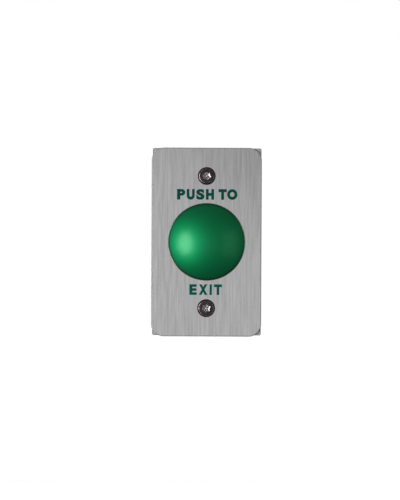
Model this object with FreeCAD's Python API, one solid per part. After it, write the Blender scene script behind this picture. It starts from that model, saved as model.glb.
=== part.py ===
"""Door exit button on a wall plate, with the push-button operator and contact blocks behind it.

Millimetres. X is to the right, Z is up and Y runs into the wall, so the front faces look along -Y.
The origin lies on the wall plane, midway between the two plate screws, on the button's axis.
"""
import FreeCAD, Part

import math
import os

# Wall plate and gasket
plate_width = 70.0
plate_height = 120.0
plate_thickness = 2.0
plate_corner_radius = 8.0
plate_edge_rounding = 0.6
gasket_short = 0.7
gasket_thickness = 2.0
gasket_corner_radius = 1.0
gasket_shift = 0.25
gasket_window_width = 50.0
gasket_window_height = 62.0
gasket_window_radius = 3.0
gasket_screw_clearance = 1.2

# Plate screws
screw_spacing = 84.0
screw_radius = 3.0
screw_thread_depth = 0.35
screw_length = 25.0
screw_tip_chamfer = 0.8
screw_head_radius = 5.65
screw_head_rise = 1.0
screw_seat_clearance = 0.05
socket_depth = 2.3
socket_lobes = 6
socket_core_radius = 2.4
socket_lobe_radius = 0.5
socket_lobe_reach = 2.3
socket_flute_radius = 0.95
socket_flute_reach = 2.95
socket_pin_radius = 0.7
socket_pin_height = 1.9

# Travel of the button, and the room that stays at the end of it
travel = 4.0
rim_room = 3.0
recess_room = 1.0
pusher_rear_room = 1.0

# Operator bezel, its key and what clamps it
barrel_radius = 11.0
barrel_wall = 2.0
barrel_hole_clearance = 0.25
barrel_lip = 0.95
flange_overlap = 3.75
flange_thickness = 3.0
flange_chamfer = 0.8
seal_thickness = 1.0
seal_key_clearance = 0.5
seal_inset = 0.55
key_width = 3.0
key_height = 0.9
key_clearance = 0.15
guide_radius = 7.0
guide_clearance = 0.08
chamber_front_depth = 1.0
thread_clearance = 0.05
washer_width = 4.5
washer_thickness = 1.0
nut_sides = 6
nut_wall = 2.5
nut_thickness = 4.0
nut_chamfer = 0.6
stem_ring_section = 1.5
stem_ring_depth = 3.6
ring_groove_clearance = 0.15

# Mushroom head
head_radius = 24.0
head_dome_height = 9.0
head_side_height = 7.0
head_edge_rounding = 3.0
head_rim_rounding = 1.0
recess_clearance = 1.75
spigot_radius = 5.0
spigot_length = 8.0
spigot_clearance = 0.05
spigot_tip_room = 1.0

# Straight runs in each turn of a coil spring
coil_steps = 16

# Stem, return spring and retainer
shoulder_clearance = 0.4
shoulder_thickness = 3.0
rod_radius = 4.0
rod_clearance = 0.08
spring_wire_radius = 0.5
spring_rod_gap = 1.9
spring_turns = 4.5
spring_length = 10.0
retainer_thickness = 2.5
retainer_clearance = 0.1
snap_ring_thickness = 1.0
snap_ring_clearance = 0.05
snap_ring_depth = 0.8
snap_ring_overlap = 1.4
snap_ring_gap = 5.0

# Pusher plate and its screw
pusher_margin = 0.5
pusher_front_room = 0.5
pusher_thickness = 2.0
pusher_screw_radius = 1.5
pusher_screw_head_radius = 2.8
pusher_screw_length = 8.0
pusher_screw_clearance = 0.05
pusher_screw_tip_room = 1.0
pusher_slot_width = 0.8
pusher_slot_depth = 0.6

# Contact carrier and its screw
carrier_nut_room = 2.0
carrier_ring_wall = 2.4
carrier_bore_clearance = 0.1
carrier_overlap = 2.0
carrier_side_margin = 2.5
carrier_wall = 1.6
carrier_cavity_clearance = 1.0
carrier_web = 2.0
arm_side_inset = 3.5
arm_clearance = 0.2
arm_length = 4.2
nose_height = 0.9
nose_front = 1.9
nose_length = 1.7
notch_clearance = 0.15
lug_height = 3.5
lug_length = 7.0
lug_half_width = 4.0
carrier_screw_radius = 1.5
carrier_screw_head_radius = 2.75
carrier_screw_head_height = 2.0
carrier_screw_clearance = 0.05
carrier_slot_width = 0.8
carrier_slot_depth = 0.8

# Contact blocks
block_width = 10.0
block_gap = 1.0
block_height = 42.0
block_depth = 22.0
block_middle_height = 24.0
block_end_depth = 17.0
case_wall = 1.2
case_end_wall = 2.0
cover_thickness = 1.2
plunger_width = 5.0
plunger_height = 6.0
plunger_clearance = 0.1
plunger_flange_x = 0.8
plunger_flange_z = 1.0
plunger_flange_thickness = 1.0
bridge_width = 2.6
bridge_thickness = 0.8
bridge_end_clearance = 2.0
bridge_front_room = 2.0
contact_radius = 1.3
contact_thickness = 0.8
contact_margin = 1.8
strip_width = 5.0
strip_thickness = 1.0
strip_plunger_clearance = 0.6
strip_clearance = 0.1
strip_step_room = 0.3
strip_front_room = 1.4
terminal_screw_radius = 1.75
terminal_screw_length = 6.0
terminal_head_radius = 3.1
terminal_head_height = 2.4
terminal_slot_width = 0.9
terminal_slot_depth = 1.2
terminal_thread_clearance = 0.05
clamp_side_clearance = 0.6
clamp_end_clearance = 0.5
clamp_thickness = 1.0
access_clearance = 0.3
wire_entry_size = 3.8
block_spring_wire_radius = 0.25
block_spring_coil_radius = 2.0
block_spring_turns = 5.0
block_spring_length = 7.8

# Depths that follow, from the plate's front towards the head
plate_rear = -gasket_thickness
plate_front = plate_rear - plate_thickness
flange_rear = plate_front - seal_thickness
flange_front = flange_rear - flange_thickness
head_rear = plate_front - travel - rim_room
recess_floor = flange_front - travel - recess_room
head_edge = head_rear - head_side_height
head_crown = head_edge - head_dome_height

# Depths that follow, from the plate's rear into the wall
nut_rear = plate_rear + washer_thickness + nut_thickness
chamber_front = -chamber_front_depth
shoulder_rear = chamber_front + shoulder_thickness
retainer_front = shoulder_rear + spring_length
retainer_rear = retainer_front + retainer_thickness
snap_groove_rear = retainer_rear + snap_ring_thickness + snap_ring_clearance
barrel_rear = snap_groove_rear + barrel_lip
pusher_front = barrel_rear + pusher_front_room
pusher_rear = pusher_front + pusher_thickness
carrier_ring_front = nut_rear + carrier_nut_room
carrier_base_front = barrel_rear - carrier_overlap
block_front = pusher_rear + travel + pusher_rear_room
block_rear = block_front + block_depth
block_end_rear = block_front + block_end_depth
case_inner_front = block_front + case_wall
case_inner_rear = block_rear - case_wall
plunger_rear = case_inner_rear - block_spring_length
nc_strip_front = case_inner_front + plunger_flange_thickness + strip_front_room
nc_bridge_front = nc_strip_front + strip_thickness + 2 * contact_thickness
no_bridge_front = case_inner_front + plunger_flange_thickness + bridge_front_room
terminal_front = no_bridge_front + bridge_thickness + 2 * contact_thickness + travel
terminal_rear = terminal_front + strip_thickness
terminal_top = terminal_rear + clamp_thickness + terminal_head_height

# Radii and places that follow
flange_radius = barrel_radius + flange_overlap
chamber_radius = barrel_radius - barrel_wall
shoulder_radius = chamber_radius - shoulder_clearance
key_reach = barrel_radius + key_height
spring_coil_radius = rod_radius + spring_rod_gap + spring_wire_radius
block_near = block_gap / 2
block_centre = block_near + block_width / 2
block_end = block_height / 2
case_width = block_width - cover_thickness
pusher_radius = math.hypot(block_centre + plunger_width / 2, plunger_height / 2) + pusher_margin
carrier_bore = barrel_radius + carrier_bore_clearance
carrier_cavity_radius = pusher_radius + carrier_cavity_clearance
carrier_half_width = block_near + block_width + carrier_side_margin
lug_reach = carrier_bore + carrier_ring_wall + lug_height
carrier_screw_y = (carrier_ring_front + carrier_base_front) / 2
arm_inner = block_end + arm_clearance
arm_outer = arm_inner + carrier_wall
pocket_inner = block_middle_height / 2
pocket_outer = block_end - case_end_wall
bridge_half_length = pocket_inner - case_wall - bridge_end_clearance
contact_z = bridge_half_length - contact_margin
strip_inner_z = plunger_height / 2 + plunger_flange_z + strip_plunger_clearance
terminal_z = (pocket_inner + pocket_outer) / 2
strip_step_z = pocket_inner + strip_step_room

AXIS_X = FreeCAD.Vector(1, 0, 0)
AXIS_Y = FreeCAD.Vector(0, 1, 0)
MITRED = 1
TOLERANCE = 1e-6


def point(x, y, z):
    """A point or direction."""
    return FreeCAD.Vector(x, y, z)


def box(xs, ys, zs):
    """Block between pairs of x, y and z, given in either order."""
    lows = [min(pair) for pair in (xs, ys, zs)]
    sizes = [abs(pair[1] - pair[0]) for pair in (xs, ys, zs)]
    return Part.makeBox(*sizes, point(*lows))


def rod(radius, front, rear, x=0.0, z=0.0):
    """Cylinder along Y from front to rear."""
    return Part.makeCylinder(radius, rear - front, point(x, front, z), AXIS_Y)


def taper(front_radius, rear_radius, front, rear, x=0.0, z=0.0):
    """Cone frustum along Y from front to rear."""
    return Part.makeCone(front_radius, rear_radius, rear - front, point(x, front, z), AXIS_Y)


def turned(outline):
    """Solid turned about the Y axis from a closed outline of (radius, y) points."""
    points = [point(radius, y, 0) for radius, y in outline]
    face = Part.Face(Part.makePolygon(points + points[:1]))
    return face.revolve(point(0, 0, 0), AXIS_Y, 360)


def tube(inner, outer, front, rear):
    """Plain ring about the Y axis."""
    return rod(outer, front, rear).cut(rod(inner, front, rear))


def rounded_slab(width, height, radius, front, rear, x=0.0, z=0.0):
    """Flat slab facing along Y, with rounded corners."""
    slab = box((x - width / 2, x + width / 2), (front, rear), (z - height / 2, z + height / 2))
    corners = []
    for edge in slab.Edges:
        if edge.tangentAt(edge.FirstParameter).cross(AXIS_Y).Length < TOLERANCE:
            corners.append(edge)
    return slab.makeFillet(radius, corners)


def edges_on_plane(shape, y):
    """Edges that lie wholly on the plane at y."""
    return [edge for edge in shape.Edges if all(abs(v.Y - y) < TOLERANCE for v in edge.Vertexes)]


def circle_edges(shape, radius, y):
    """Full circles about the Y axis with this radius and place."""
    found = []
    for edge in edges_on_plane(shape, y):
        curve = edge.Curve
        if isinstance(curve, Part.Circle) and abs(curve.Radius - radius) < TOLERANCE:
            found.append(edge)
    return found


def coil(coil_radius, wire_radius, turns, front, rear, x=0.0):
    """Coil spring of round wire that fills the space from front to rear, bent in short straight runs."""
    rise = (rear - front - 2 * wire_radius) / turns
    points = []
    for step in range(round(turns * coil_steps) + 1):
        share = step / coil_steps
        angle = 2 * math.pi * share
        y = front + wire_radius + rise * share
        points.append(point(x + coil_radius * math.cos(angle), y, coil_radius * math.sin(angle)))
    section = Part.Wire(Part.makeCircle(wire_radius, points[0], points[1] - points[0]))
    return Part.makePolygon(points).makePipeShell([section], True, False, MITRED)


def save(name, *solids):
    """Write one sub-part, of one solid or of a group of like solids."""
    shape = solids[0] if len(solids) == 1 else Part.makeCompound(list(solids))
    shape.exportStep(f"parts/{name}.step")
    print(name, len(shape.Solids), round(shape.Volume, 2), shape.isValid())


def screw_places():
    """Heights of the two plate screws."""
    return (screw_spacing / 2, -screw_spacing / 2)


def make_faceplate():
    """Sheet with rounded corners and a softened front edge, a keyed centre hole and two countersinks."""
    plate = rounded_slab(plate_width, plate_height, plate_corner_radius, plate_front, plate_rear)
    plate = plate.makeFillet(plate_edge_rounding, edges_on_plane(plate, plate_front))
    hole = rod(barrel_radius + barrel_hole_clearance, plate_front, plate_rear)
    half_notch = key_width / 2 + key_clearance
    notch = box((-half_notch, half_notch), (plate_front, plate_rear), (0, key_reach + key_clearance))
    plate = plate.cut(hole.fuse(notch))
    wide = screw_head_radius + screw_seat_clearance
    for z in screw_places():
        plate = plate.cut(taper(wide, wide - plate_thickness, plate_front, plate_rear, z=z))
    return plate


def make_gasket():
    """Square-cornered foam layer behind the plate, open in the middle and round the screws."""
    width = plate_width - gasket_short
    height = plate_height - gasket_short
    gasket = rounded_slab(width, height, gasket_corner_radius, plate_rear, 0, gasket_shift, gasket_shift)
    window = rounded_slab(gasket_window_width, gasket_window_height, gasket_window_radius, plate_rear, 0)
    gasket = gasket.cut(window)
    for z in screw_places():
        gasket = gasket.cut(rod(screw_radius + gasket_screw_clearance, plate_rear, 0, z=z))
    return gasket


def make_socket(front):
    """Six-lobed security socket round a centre pin, to be cut from a screw's head."""
    rear = plate_front + socket_depth
    socket = rod(socket_core_radius, front, rear)
    half_pitch = math.pi / socket_lobes
    for step in range(socket_lobes):
        lobe_angle = (2 * step + 1) * half_pitch
        flute_angle = 2 * step * half_pitch
        flute_x = socket_flute_reach * math.cos(flute_angle)
        flute_z = socket_flute_reach * math.sin(flute_angle)
        socket = socket.cut(rod(socket_flute_radius, front, rear, flute_x, flute_z))
        lobe_x = socket_lobe_reach * math.cos(lobe_angle)
        lobe_z = socket_lobe_reach * math.sin(lobe_angle)
        socket = socket.fuse(rod(socket_lobe_radius, front, rear, lobe_x, lobe_z))
    return socket.cut(rod(socket_pin_radius, rear - socket_pin_height, rear))


def make_plate_screw():
    """Raised countersunk machine screw on the button's axis, with its thread left smooth."""
    neck_radius = screw_radius - screw_thread_depth
    cone_rear = plate_front + screw_head_radius - neck_radius
    tip = plate_front + screw_length
    outline = [
        (0, plate_front),
        (screw_head_radius, plate_front),
        (neck_radius, cone_rear),
        (neck_radius, 0),
        (screw_radius, 0),
        (screw_radius, tip - screw_tip_chamfer),
        (screw_radius - screw_tip_chamfer, tip),
        (0, tip),
    ]
    shank = turned(outline)
    cap_radius = (screw_head_radius**2 + screw_head_rise**2) / (2 * screw_head_rise)
    ball = Part.makeSphere(cap_radius, point(0, plate_front - screw_head_rise + cap_radius, 0))
    cap = ball.common(rod(screw_head_radius, plate_front - screw_head_rise, plate_front))
    screw = shank.fuse(cap).removeSplitter()
    return screw.cut(make_socket(plate_front - screw_head_rise))


def moved_up(shape, z):
    """Copy of a shape at another height."""
    copy = shape.copy()
    copy.translate(point(0, 0, z))
    return copy


def make_bezel():
    """Flange and barrel that clamp the plate, with the stem's guide bore and the spring's chamber."""
    groove_centre = flange_front + stem_ring_depth
    half_groove = stem_ring_section / 2 + ring_groove_clearance
    bore = guide_radius + guide_clearance
    groove_radius = bore + stem_ring_section + ring_groove_clearance
    snap_radius = chamber_radius + snap_ring_depth
    outline = [
        (bore, flange_front),
        (flange_radius - flange_chamfer, flange_front),
        (flange_radius, flange_front + flange_chamfer),
        (flange_radius, flange_rear),
        (barrel_radius, flange_rear),
        (barrel_radius, barrel_rear),
        (chamber_radius, barrel_rear),
        (chamber_radius, snap_groove_rear),
        (snap_radius, snap_groove_rear),
        (snap_radius, retainer_rear),
        (chamber_radius, retainer_rear),
        (chamber_radius, chamber_front),
        (bore, chamber_front),
        (bore, groove_centre + half_groove),
        (groove_radius, groove_centre + half_groove),
        (groove_radius, groove_centre - half_groove),
        (bore, groove_centre - half_groove),
    ]
    body = turned(outline)
    key_inner = (barrel_radius + chamber_radius) / 2
    key = box((-key_width / 2, key_width / 2), (flange_rear, plate_rear), (key_inner, key_reach))
    return body.fuse(key).removeSplitter()


def make_stem_seal():
    """O-ring in the guide bore's groove."""
    centre_radius = guide_radius + guide_clearance + stem_ring_section / 2
    place = point(0, flange_front + stem_ring_depth, 0)
    return Part.makeTorus(centre_radius, stem_ring_section / 2, place, AXIS_Y)


def make_lock_nut():
    """Hexagonal nut behind the washer, with its corners chamfered."""
    front = plate_rear + washer_thickness
    corner = (barrel_radius + nut_wall) / math.cos(math.pi / nut_sides)
    corners = []
    for step in range(nut_sides + 1):
        angle = 2 * math.pi * step / nut_sides
        corners.append(point(corner * math.sin(angle), front, corner * math.cos(angle)))
    hexagon = Part.Face(Part.makePolygon(corners)).extrude(point(0, nut_thickness, 0))
    narrow = corner - nut_chamfer
    wide = narrow + nut_thickness
    front_taper = taper(narrow, wide, front, nut_rear)
    rear_taper = taper(wide, narrow, front, nut_rear)
    nut = hexagon.common(front_taper).common(rear_taper)
    return nut.cut(rod(barrel_radius + thread_clearance, front, nut_rear))


def make_head():
    """Turned mushroom head: a domed front, a rounded rim and a recess behind that clears the flange."""
    ball_radius = (head_radius**2 + head_dome_height**2) / (2 * head_dome_height)
    ball = Part.makeSphere(ball_radius, point(0, head_crown + ball_radius, 0))
    head = ball.common(rod(head_radius, head_crown, head_edge)).fuse(rod(head_radius, head_edge, head_rear))
    head = head.removeSplitter()
    head = head.makeFillet(head_edge_rounding, circle_edges(head, head_radius, head_edge))
    head = head.makeFillet(head_rim_rounding, circle_edges(head, head_radius, head_rear))
    head = head.cut(rod(flange_radius + recess_clearance, recess_floor, head_rear))
    hole_front = recess_floor - spigot_length - spigot_tip_room
    return head.cut(rod(spigot_radius + spigot_clearance, hole_front, recess_floor))


def make_stem():
    """Turned stem: a spigot in the head, the guide, the front stop's shoulder and the rear rod."""
    outline = [
        (0, recess_floor - spigot_length),
        (spigot_radius, recess_floor - spigot_length),
        (spigot_radius, recess_floor),
        (guide_radius, recess_floor),
        (guide_radius, chamber_front),
        (shoulder_radius, chamber_front),
        (shoulder_radius, shoulder_rear),
        (rod_radius, shoulder_rear),
        (rod_radius, pusher_front),
        (0, pusher_front),
    ]
    screw_tip = pusher_rear - pusher_screw_length
    hole = rod(pusher_screw_radius + pusher_screw_clearance, screw_tip - pusher_screw_tip_room, pusher_front)
    return turned(outline).cut(hole)


def make_snap_ring():
    """Internal retaining ring, open at the bottom, sprung into the barrel's groove."""
    outer = chamber_radius + snap_ring_depth - snap_ring_clearance
    inner = chamber_radius - snap_ring_overlap
    ring = tube(inner, outer, retainer_rear, retainer_rear + snap_ring_thickness)
    gap = box((-snap_ring_gap / 2, snap_ring_gap / 2), (retainer_rear, barrel_rear), (-outer, 0))
    return ring.cut(gap)


def pusher_cone(extra):
    """Countersunk head of the pusher screw, grown by a clearance."""
    wide = pusher_screw_head_radius + extra
    narrow = pusher_screw_radius + extra
    return taper(narrow, wide, pusher_rear - (wide - narrow), pusher_rear)


def make_pusher_plate():
    """Disc on the stem's rear end that works both plungers."""
    disc = rod(pusher_radius, pusher_front, pusher_rear)
    hole = rod(pusher_screw_radius + pusher_screw_clearance, pusher_front, pusher_rear)
    return disc.cut(hole).cut(pusher_cone(pusher_screw_clearance))


def make_pusher_screw():
    """Slotted countersunk screw that holds the pusher plate."""
    shank = rod(pusher_screw_radius, pusher_rear - pusher_screw_length, pusher_rear)
    screw = shank.fuse(pusher_cone(0)).removeSplitter()
    reach = (-pusher_screw_head_radius, pusher_screw_head_radius)
    half_slot = pusher_slot_width / 2
    return screw.cut(box(reach, (pusher_rear - pusher_slot_depth, pusher_rear), (-half_slot, half_slot)))


def make_arm(side):
    """Snap arm of the carrier with its hooked nose, above or below the contact blocks."""
    half_width = carrier_half_width - arm_side_inset
    arm_y = (block_front, block_front + arm_length)
    arm = box((-half_width, half_width), arm_y, (side * arm_inner, side * arm_outer))
    nose_start = block_front + nose_front
    nose_tip = block_end - nose_height
    corners = [
        point(-half_width, nose_start, side * arm_inner),
        point(-half_width, nose_start, side * nose_tip),
        point(-half_width, nose_start + nose_length, side * arm_inner),
    ]
    wedge = Part.Face(Part.makePolygon(corners + corners[:1]))
    return arm.fuse(wedge.extrude(point(2 * half_width, 0, 0)))


def make_carrier():
    """Collar on the barrel with a base for the contact blocks, two snap arms and a screw lug."""
    widths = (-carrier_half_width, carrier_half_width)
    carrier = box(widths, (carrier_base_front, block_front), (-arm_outer, arm_outer))
    carrier = carrier.fuse(rod(carrier_bore + carrier_ring_wall, carrier_ring_front, carrier_base_front))
    lug_y = (carrier_screw_y - lug_length / 2, carrier_screw_y + lug_length / 2)
    carrier = carrier.fuse(box((0, lug_reach), lug_y, (-lug_half_width, lug_half_width)))
    pocket_x = carrier_half_width - carrier_wall
    pocket_y = (carrier_base_front + carrier_wall, block_front)
    for side in (1, -1):
        carrier = carrier.fuse(make_arm(side))
        pocket_z = (side * (carrier_cavity_radius + carrier_web), side * (arm_outer - carrier_wall))
        carrier = carrier.cut(box((-pocket_x, pocket_x), pocket_y, pocket_z))
    carrier = carrier.removeSplitter()
    carrier = carrier.cut(rod(carrier_bore, carrier_ring_front, barrel_rear))
    carrier = carrier.cut(rod(carrier_cavity_radius, barrel_rear, block_front))
    hole_radius = carrier_screw_radius + carrier_screw_clearance
    return carrier.cut(Part.makeCylinder(hole_radius, lug_reach, point(0, carrier_screw_y, 0), AXIS_X))


def make_carrier_screw():
    """Slotted screw through the lug, with its tip on the barrel."""
    tip = barrel_radius + carrier_screw_clearance
    head_rear = lug_reach + carrier_screw_head_height
    radius = carrier_screw_head_radius
    screw = Part.makeCylinder(carrier_screw_radius, lug_reach - tip, point(tip, carrier_screw_y, 0), AXIS_X)
    seat = point(lug_reach, carrier_screw_y, 0)
    screw = screw.fuse(Part.makeCylinder(radius, carrier_screw_head_height, seat, AXIS_X))
    half_slot = carrier_slot_width / 2
    slot_x = (head_rear - carrier_slot_depth, head_rear)
    slot_y = (carrier_screw_y - half_slot, carrier_screw_y + half_slot)
    return screw.cut(box(slot_x, slot_y, (-radius, radius)))


def block_profile(side, inner, outer):
    """Stepped side outline of a contact block, extruded across part of its width."""
    x = side * (block_near + inner)
    corners = [
        point(x, block_front, -block_end),
        point(x, block_front, block_end),
        point(x, block_end_rear, block_end),
        point(x, block_end_rear, pocket_inner),
        point(x, block_rear, pocket_inner),
        point(x, block_rear, -pocket_inner),
        point(x, block_end_rear, -pocket_inner),
        point(x, block_end_rear, -block_end),
    ]
    face = Part.Face(Part.makePolygon(corners + corners[:1]))
    return face.extrude(point(side * (outer - inner), 0, 0))


def snap_notch(side, end, inner, outer):
    """Space for a snap arm's nose at one end of a block, across part of its width."""
    notch_x = (side * (block_near + inner), side * (block_near + outer))
    notch_front = block_front + nose_front - notch_clearance
    notch_y = (notch_front, notch_front + nose_length + 2 * notch_clearance)
    tip = block_end - nose_height - notch_clearance
    return box(notch_x, notch_y, (end * tip, end * block_end))


def strip_front(normally_closed):
    """Front face of a fixed contact strip where it meets the moving bridge."""
    return nc_strip_front if normally_closed else terminal_front


def make_case(side, normally_closed):
    """Moulded half of a contact block, open towards its cover."""
    case = block_profile(side, 0, case_width)
    centre = side * block_centre
    inside_x = (side * (block_near + case_wall), side * (block_near + case_width))
    middle_z = pocket_inner - case_wall
    case = case.cut(box(inside_x, (case_inner_front, case_inner_rear), (-middle_z, middle_z)))
    half_x = plunger_width / 2 + plunger_clearance
    half_z = plunger_height / 2 + plunger_clearance
    window_y = (block_front, case_inner_front)
    case = case.cut(box((centre - half_x, centre + half_x), window_y, (-half_z, half_z)))
    slot_half = strip_width / 2 + strip_clearance
    slot_x = (centre - slot_half, centre + slot_half)
    level = strip_front(normally_closed)
    slot_y = (level - strip_clearance, level + strip_thickness + strip_clearance)
    pocket_y = (case_inner_front, block_end_rear - case_wall)
    half_entry = wire_entry_size / 2
    entry_x = (centre - half_entry, centre + half_entry)
    entry_y = (terminal_rear - half_entry, terminal_rear + half_entry)
    access_radius = terminal_head_radius + access_clearance
    for end in (1, -1):
        case = case.cut(box(inside_x, pocket_y, (end * pocket_inner, end * pocket_outer)))
        case = case.cut(box(slot_x, slot_y, (end * middle_z, end * pocket_inner)))
        case = case.cut(rod(access_radius, pocket_y[1], block_end_rear, centre, end * terminal_z))
        case = case.cut(box(entry_x, entry_y, (end * pocket_outer, end * block_end)))
        case = case.cut(snap_notch(side, end, 0, case_width))
    return case


def make_cover(side):
    """Side cover of a contact block, cut back where the carrier's arms snap in."""
    cover = block_profile(side, case_width, block_width)
    for end in (1, -1):
        cover = cover.cut(snap_notch(side, end, case_width, block_width))
    return cover


def bridge_span(normally_closed):
    """Front and rear faces of the moving bridge at rest."""
    front = nc_bridge_front if normally_closed else no_bridge_front
    return (front, front + bridge_thickness)


def make_plunger(side, normally_closed):
    """Plunger that stands out of the block's front to the pusher plate, slotted for its bridge."""
    centre = side * block_centre
    half_x = plunger_width / 2
    half_z = plunger_height / 2
    plunger = box((centre - half_x, centre + half_x), (pusher_rear, plunger_rear), (-half_z, half_z))
    flange_x = (centre - half_x - plunger_flange_x, centre + half_x + plunger_flange_x)
    flange_y = (case_inner_front, case_inner_front + plunger_flange_thickness)
    flange_z = (-half_z - plunger_flange_z, half_z + plunger_flange_z)
    plunger = plunger.fuse(box(flange_x, flange_y, flange_z)).removeSplitter()
    slot_x = (centre - bridge_width / 2, centre + bridge_width / 2)
    return plunger.cut(box(slot_x, bridge_span(normally_closed), (-half_z, half_z)))


def rivet_on(strip, side, end, front):
    """Strip with a contact rivet standing from the given depth."""
    rivet = rod(contact_radius, front, front + contact_thickness, side * block_centre, end * contact_z)
    return strip.fuse(rivet)


def make_bridge(side, normally_closed):
    """Moving bridge with a contact rivet near each end."""
    centre = side * block_centre
    half = bridge_width / 2
    front, rear = bridge_span(normally_closed)
    bridge = box((centre - half, centre + half), (front, rear), (-bridge_half_length, bridge_half_length))
    for end in (1, -1):
        bridge = rivet_on(bridge, side, end, front - contact_thickness if normally_closed else rear)
    return bridge.removeSplitter()


def strip_outline(level):
    """Section of a fixed contact strip as (z, y) points, stepped if its ends lie at two depths."""
    outer_z = pocket_outer - strip_clearance
    outline = [(strip_inner_z, level + strip_thickness), (strip_inner_z, level)]
    if level < terminal_front:
        step_outer = strip_step_z + strip_thickness
        outline += [(step_outer, level), (step_outer, terminal_front)]
    outline += [(outer_z, terminal_front), (outer_z, terminal_rear)]
    if level < terminal_front:
        outline += [(strip_step_z, terminal_rear), (strip_step_z, level + strip_thickness)]
    return outline


def make_fixed_contact(side, end, normally_closed):
    """Strip from a terminal to its contact rivet."""
    centre = side * block_centre
    level = strip_front(normally_closed)
    corners = [point(centre - strip_width / 2, y, end * z) for z, y in strip_outline(level)]
    strip = Part.Face(Part.makePolygon(corners + corners[:1])).extrude(point(strip_width, 0, 0))
    rivet_front = level + strip_thickness if normally_closed else level - contact_thickness
    strip = rivet_on(strip, side, end, rivet_front).removeSplitter()
    hole_radius = terminal_screw_radius + terminal_thread_clearance
    return strip.cut(rod(hole_radius, terminal_front, terminal_rear, centre, end * terminal_z))


def terminal_places():
    """Centres of the four terminals as (x, z)."""
    return [(side * block_centre, end * terminal_z) for side in (1, -1) for end in (1, -1)]


def make_clamp(x, z):
    """Clamp plate under a terminal screw."""
    half_x = (case_width - case_wall) / 2 - clamp_side_clearance
    half_z = (pocket_outer - pocket_inner) / 2 - clamp_end_clearance
    rear = terminal_rear + clamp_thickness
    clamp = box((x - half_x, x + half_x), (terminal_rear, rear), (z - half_z, z + half_z))
    return clamp.cut(rod(terminal_screw_radius + terminal_thread_clearance, terminal_rear, rear, x, z))


def make_terminal_screw(x, z):
    """Slotted terminal screw with its head on the clamp plate."""
    seat = terminal_top - terminal_head_height
    screw = rod(terminal_screw_radius, seat - terminal_screw_length, seat, x, z)
    screw = screw.fuse(rod(terminal_head_radius, seat, terminal_top, x, z))
    half_slot = terminal_slot_width / 2
    slot_x = (x - terminal_head_radius, x + terminal_head_radius)
    slot_y = (terminal_top - terminal_slot_depth, terminal_top)
    return screw.cut(box(slot_x, slot_y, (z - half_slot, z + half_slot)))


def make_block_spring(side):
    """Spring between a plunger and the block's rear wall."""
    radii = (block_spring_coil_radius, block_spring_wire_radius)
    return coil(*radii, block_spring_turns, plunger_rear, case_inner_rear, side * block_centre)


def build_front():
    """Plate, gasket, plate screws, bezel and what clamps it."""
    save("faceplate", make_faceplate())
    save("plate_gasket", make_gasket())
    save("plate_screws", *[moved_up(make_plate_screw(), z) for z in screw_places()])
    save("operator_bezel", make_bezel())
    seal_inner = key_reach + seal_key_clearance
    save("bezel_seal", tube(seal_inner, flange_radius - seal_inset, flange_rear, plate_front))
    thread_bore = barrel_radius + thread_clearance
    washer_rear = plate_rear + washer_thickness
    save("lock_washer", tube(thread_bore, barrel_radius + washer_width, plate_rear, washer_rear))
    save("lock_nut", make_lock_nut())
    save("stem_seal", make_stem_seal())


def build_button():
    """Head, stem, return spring, what retains it and the pusher plate."""
    save("mushroom_head", make_head())
    save("stem", make_stem())
    spring = coil(spring_coil_radius, spring_wire_radius, spring_turns, shoulder_rear, retainer_front)
    save("return_spring", spring)
    retainer_outer = chamber_radius - retainer_clearance
    save("spring_retainer", tube(rod_radius + rod_clearance, retainer_outer, retainer_front, retainer_rear))
    save("retaining_ring", make_snap_ring())
    save("pusher_plate", make_pusher_plate())
    save("pusher_screw", make_pusher_screw())


def build_contacts():
    """Carrier, both contact blocks and their terminals."""
    save("contact_carrier", make_carrier())
    save("carrier_screw", make_carrier_screw())
    for name, side, normally_closed in (("no", 1, False), ("nc", -1, True)):
        save(f"{name}_case", make_case(side, normally_closed))
        save(f"{name}_cover", make_cover(side))
        save(f"{name}_plunger", make_plunger(side, normally_closed))
        save(f"{name}_bridge", make_bridge(side, normally_closed))
        save(f"{name}_contacts", *[make_fixed_contact(side, end, normally_closed) for end in (1, -1)])
        save(f"{name}_spring", make_block_spring(side))
    save("terminal_clamps", *[make_clamp(x, z) for x, z in terminal_places()])
    save("terminal_screws", *[make_terminal_screw(x, z) for x, z in terminal_places()])


os.makedirs("parts", exist_ok=True)
build_front()
build_button()
build_contacts()
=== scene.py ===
"""Looks of a door exit button on its wall plate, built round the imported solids.

Everything is in metres, in the solids' own frame. X is to the right, Z is up and Y runs into
the wall, so the front faces look along -Y. The origin lies on the wall plane, on the button's axis.
"""

import logging
import math
from collections.abc import Callable, Sequence
from dataclasses import dataclass
from enum import Enum
from typing import Any

import bpy
from mathutils import Matrix, Vector

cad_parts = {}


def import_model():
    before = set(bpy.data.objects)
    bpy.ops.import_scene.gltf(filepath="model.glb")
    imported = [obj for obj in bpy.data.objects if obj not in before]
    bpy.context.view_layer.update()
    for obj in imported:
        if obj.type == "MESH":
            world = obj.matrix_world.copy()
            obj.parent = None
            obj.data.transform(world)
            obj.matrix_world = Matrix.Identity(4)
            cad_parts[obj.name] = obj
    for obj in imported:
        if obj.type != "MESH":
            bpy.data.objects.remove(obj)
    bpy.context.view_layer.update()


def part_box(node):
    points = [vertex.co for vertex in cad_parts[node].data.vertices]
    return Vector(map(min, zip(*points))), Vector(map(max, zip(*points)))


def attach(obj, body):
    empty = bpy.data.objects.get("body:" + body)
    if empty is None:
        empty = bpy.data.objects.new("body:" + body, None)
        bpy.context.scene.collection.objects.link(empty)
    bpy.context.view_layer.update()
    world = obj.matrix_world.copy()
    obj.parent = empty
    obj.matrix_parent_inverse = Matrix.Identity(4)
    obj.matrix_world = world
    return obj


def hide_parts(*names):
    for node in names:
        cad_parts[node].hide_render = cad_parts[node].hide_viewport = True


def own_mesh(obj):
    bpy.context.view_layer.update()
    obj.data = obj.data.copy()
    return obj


MM = 0.001
MERGE = 0.001 * MM

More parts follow.
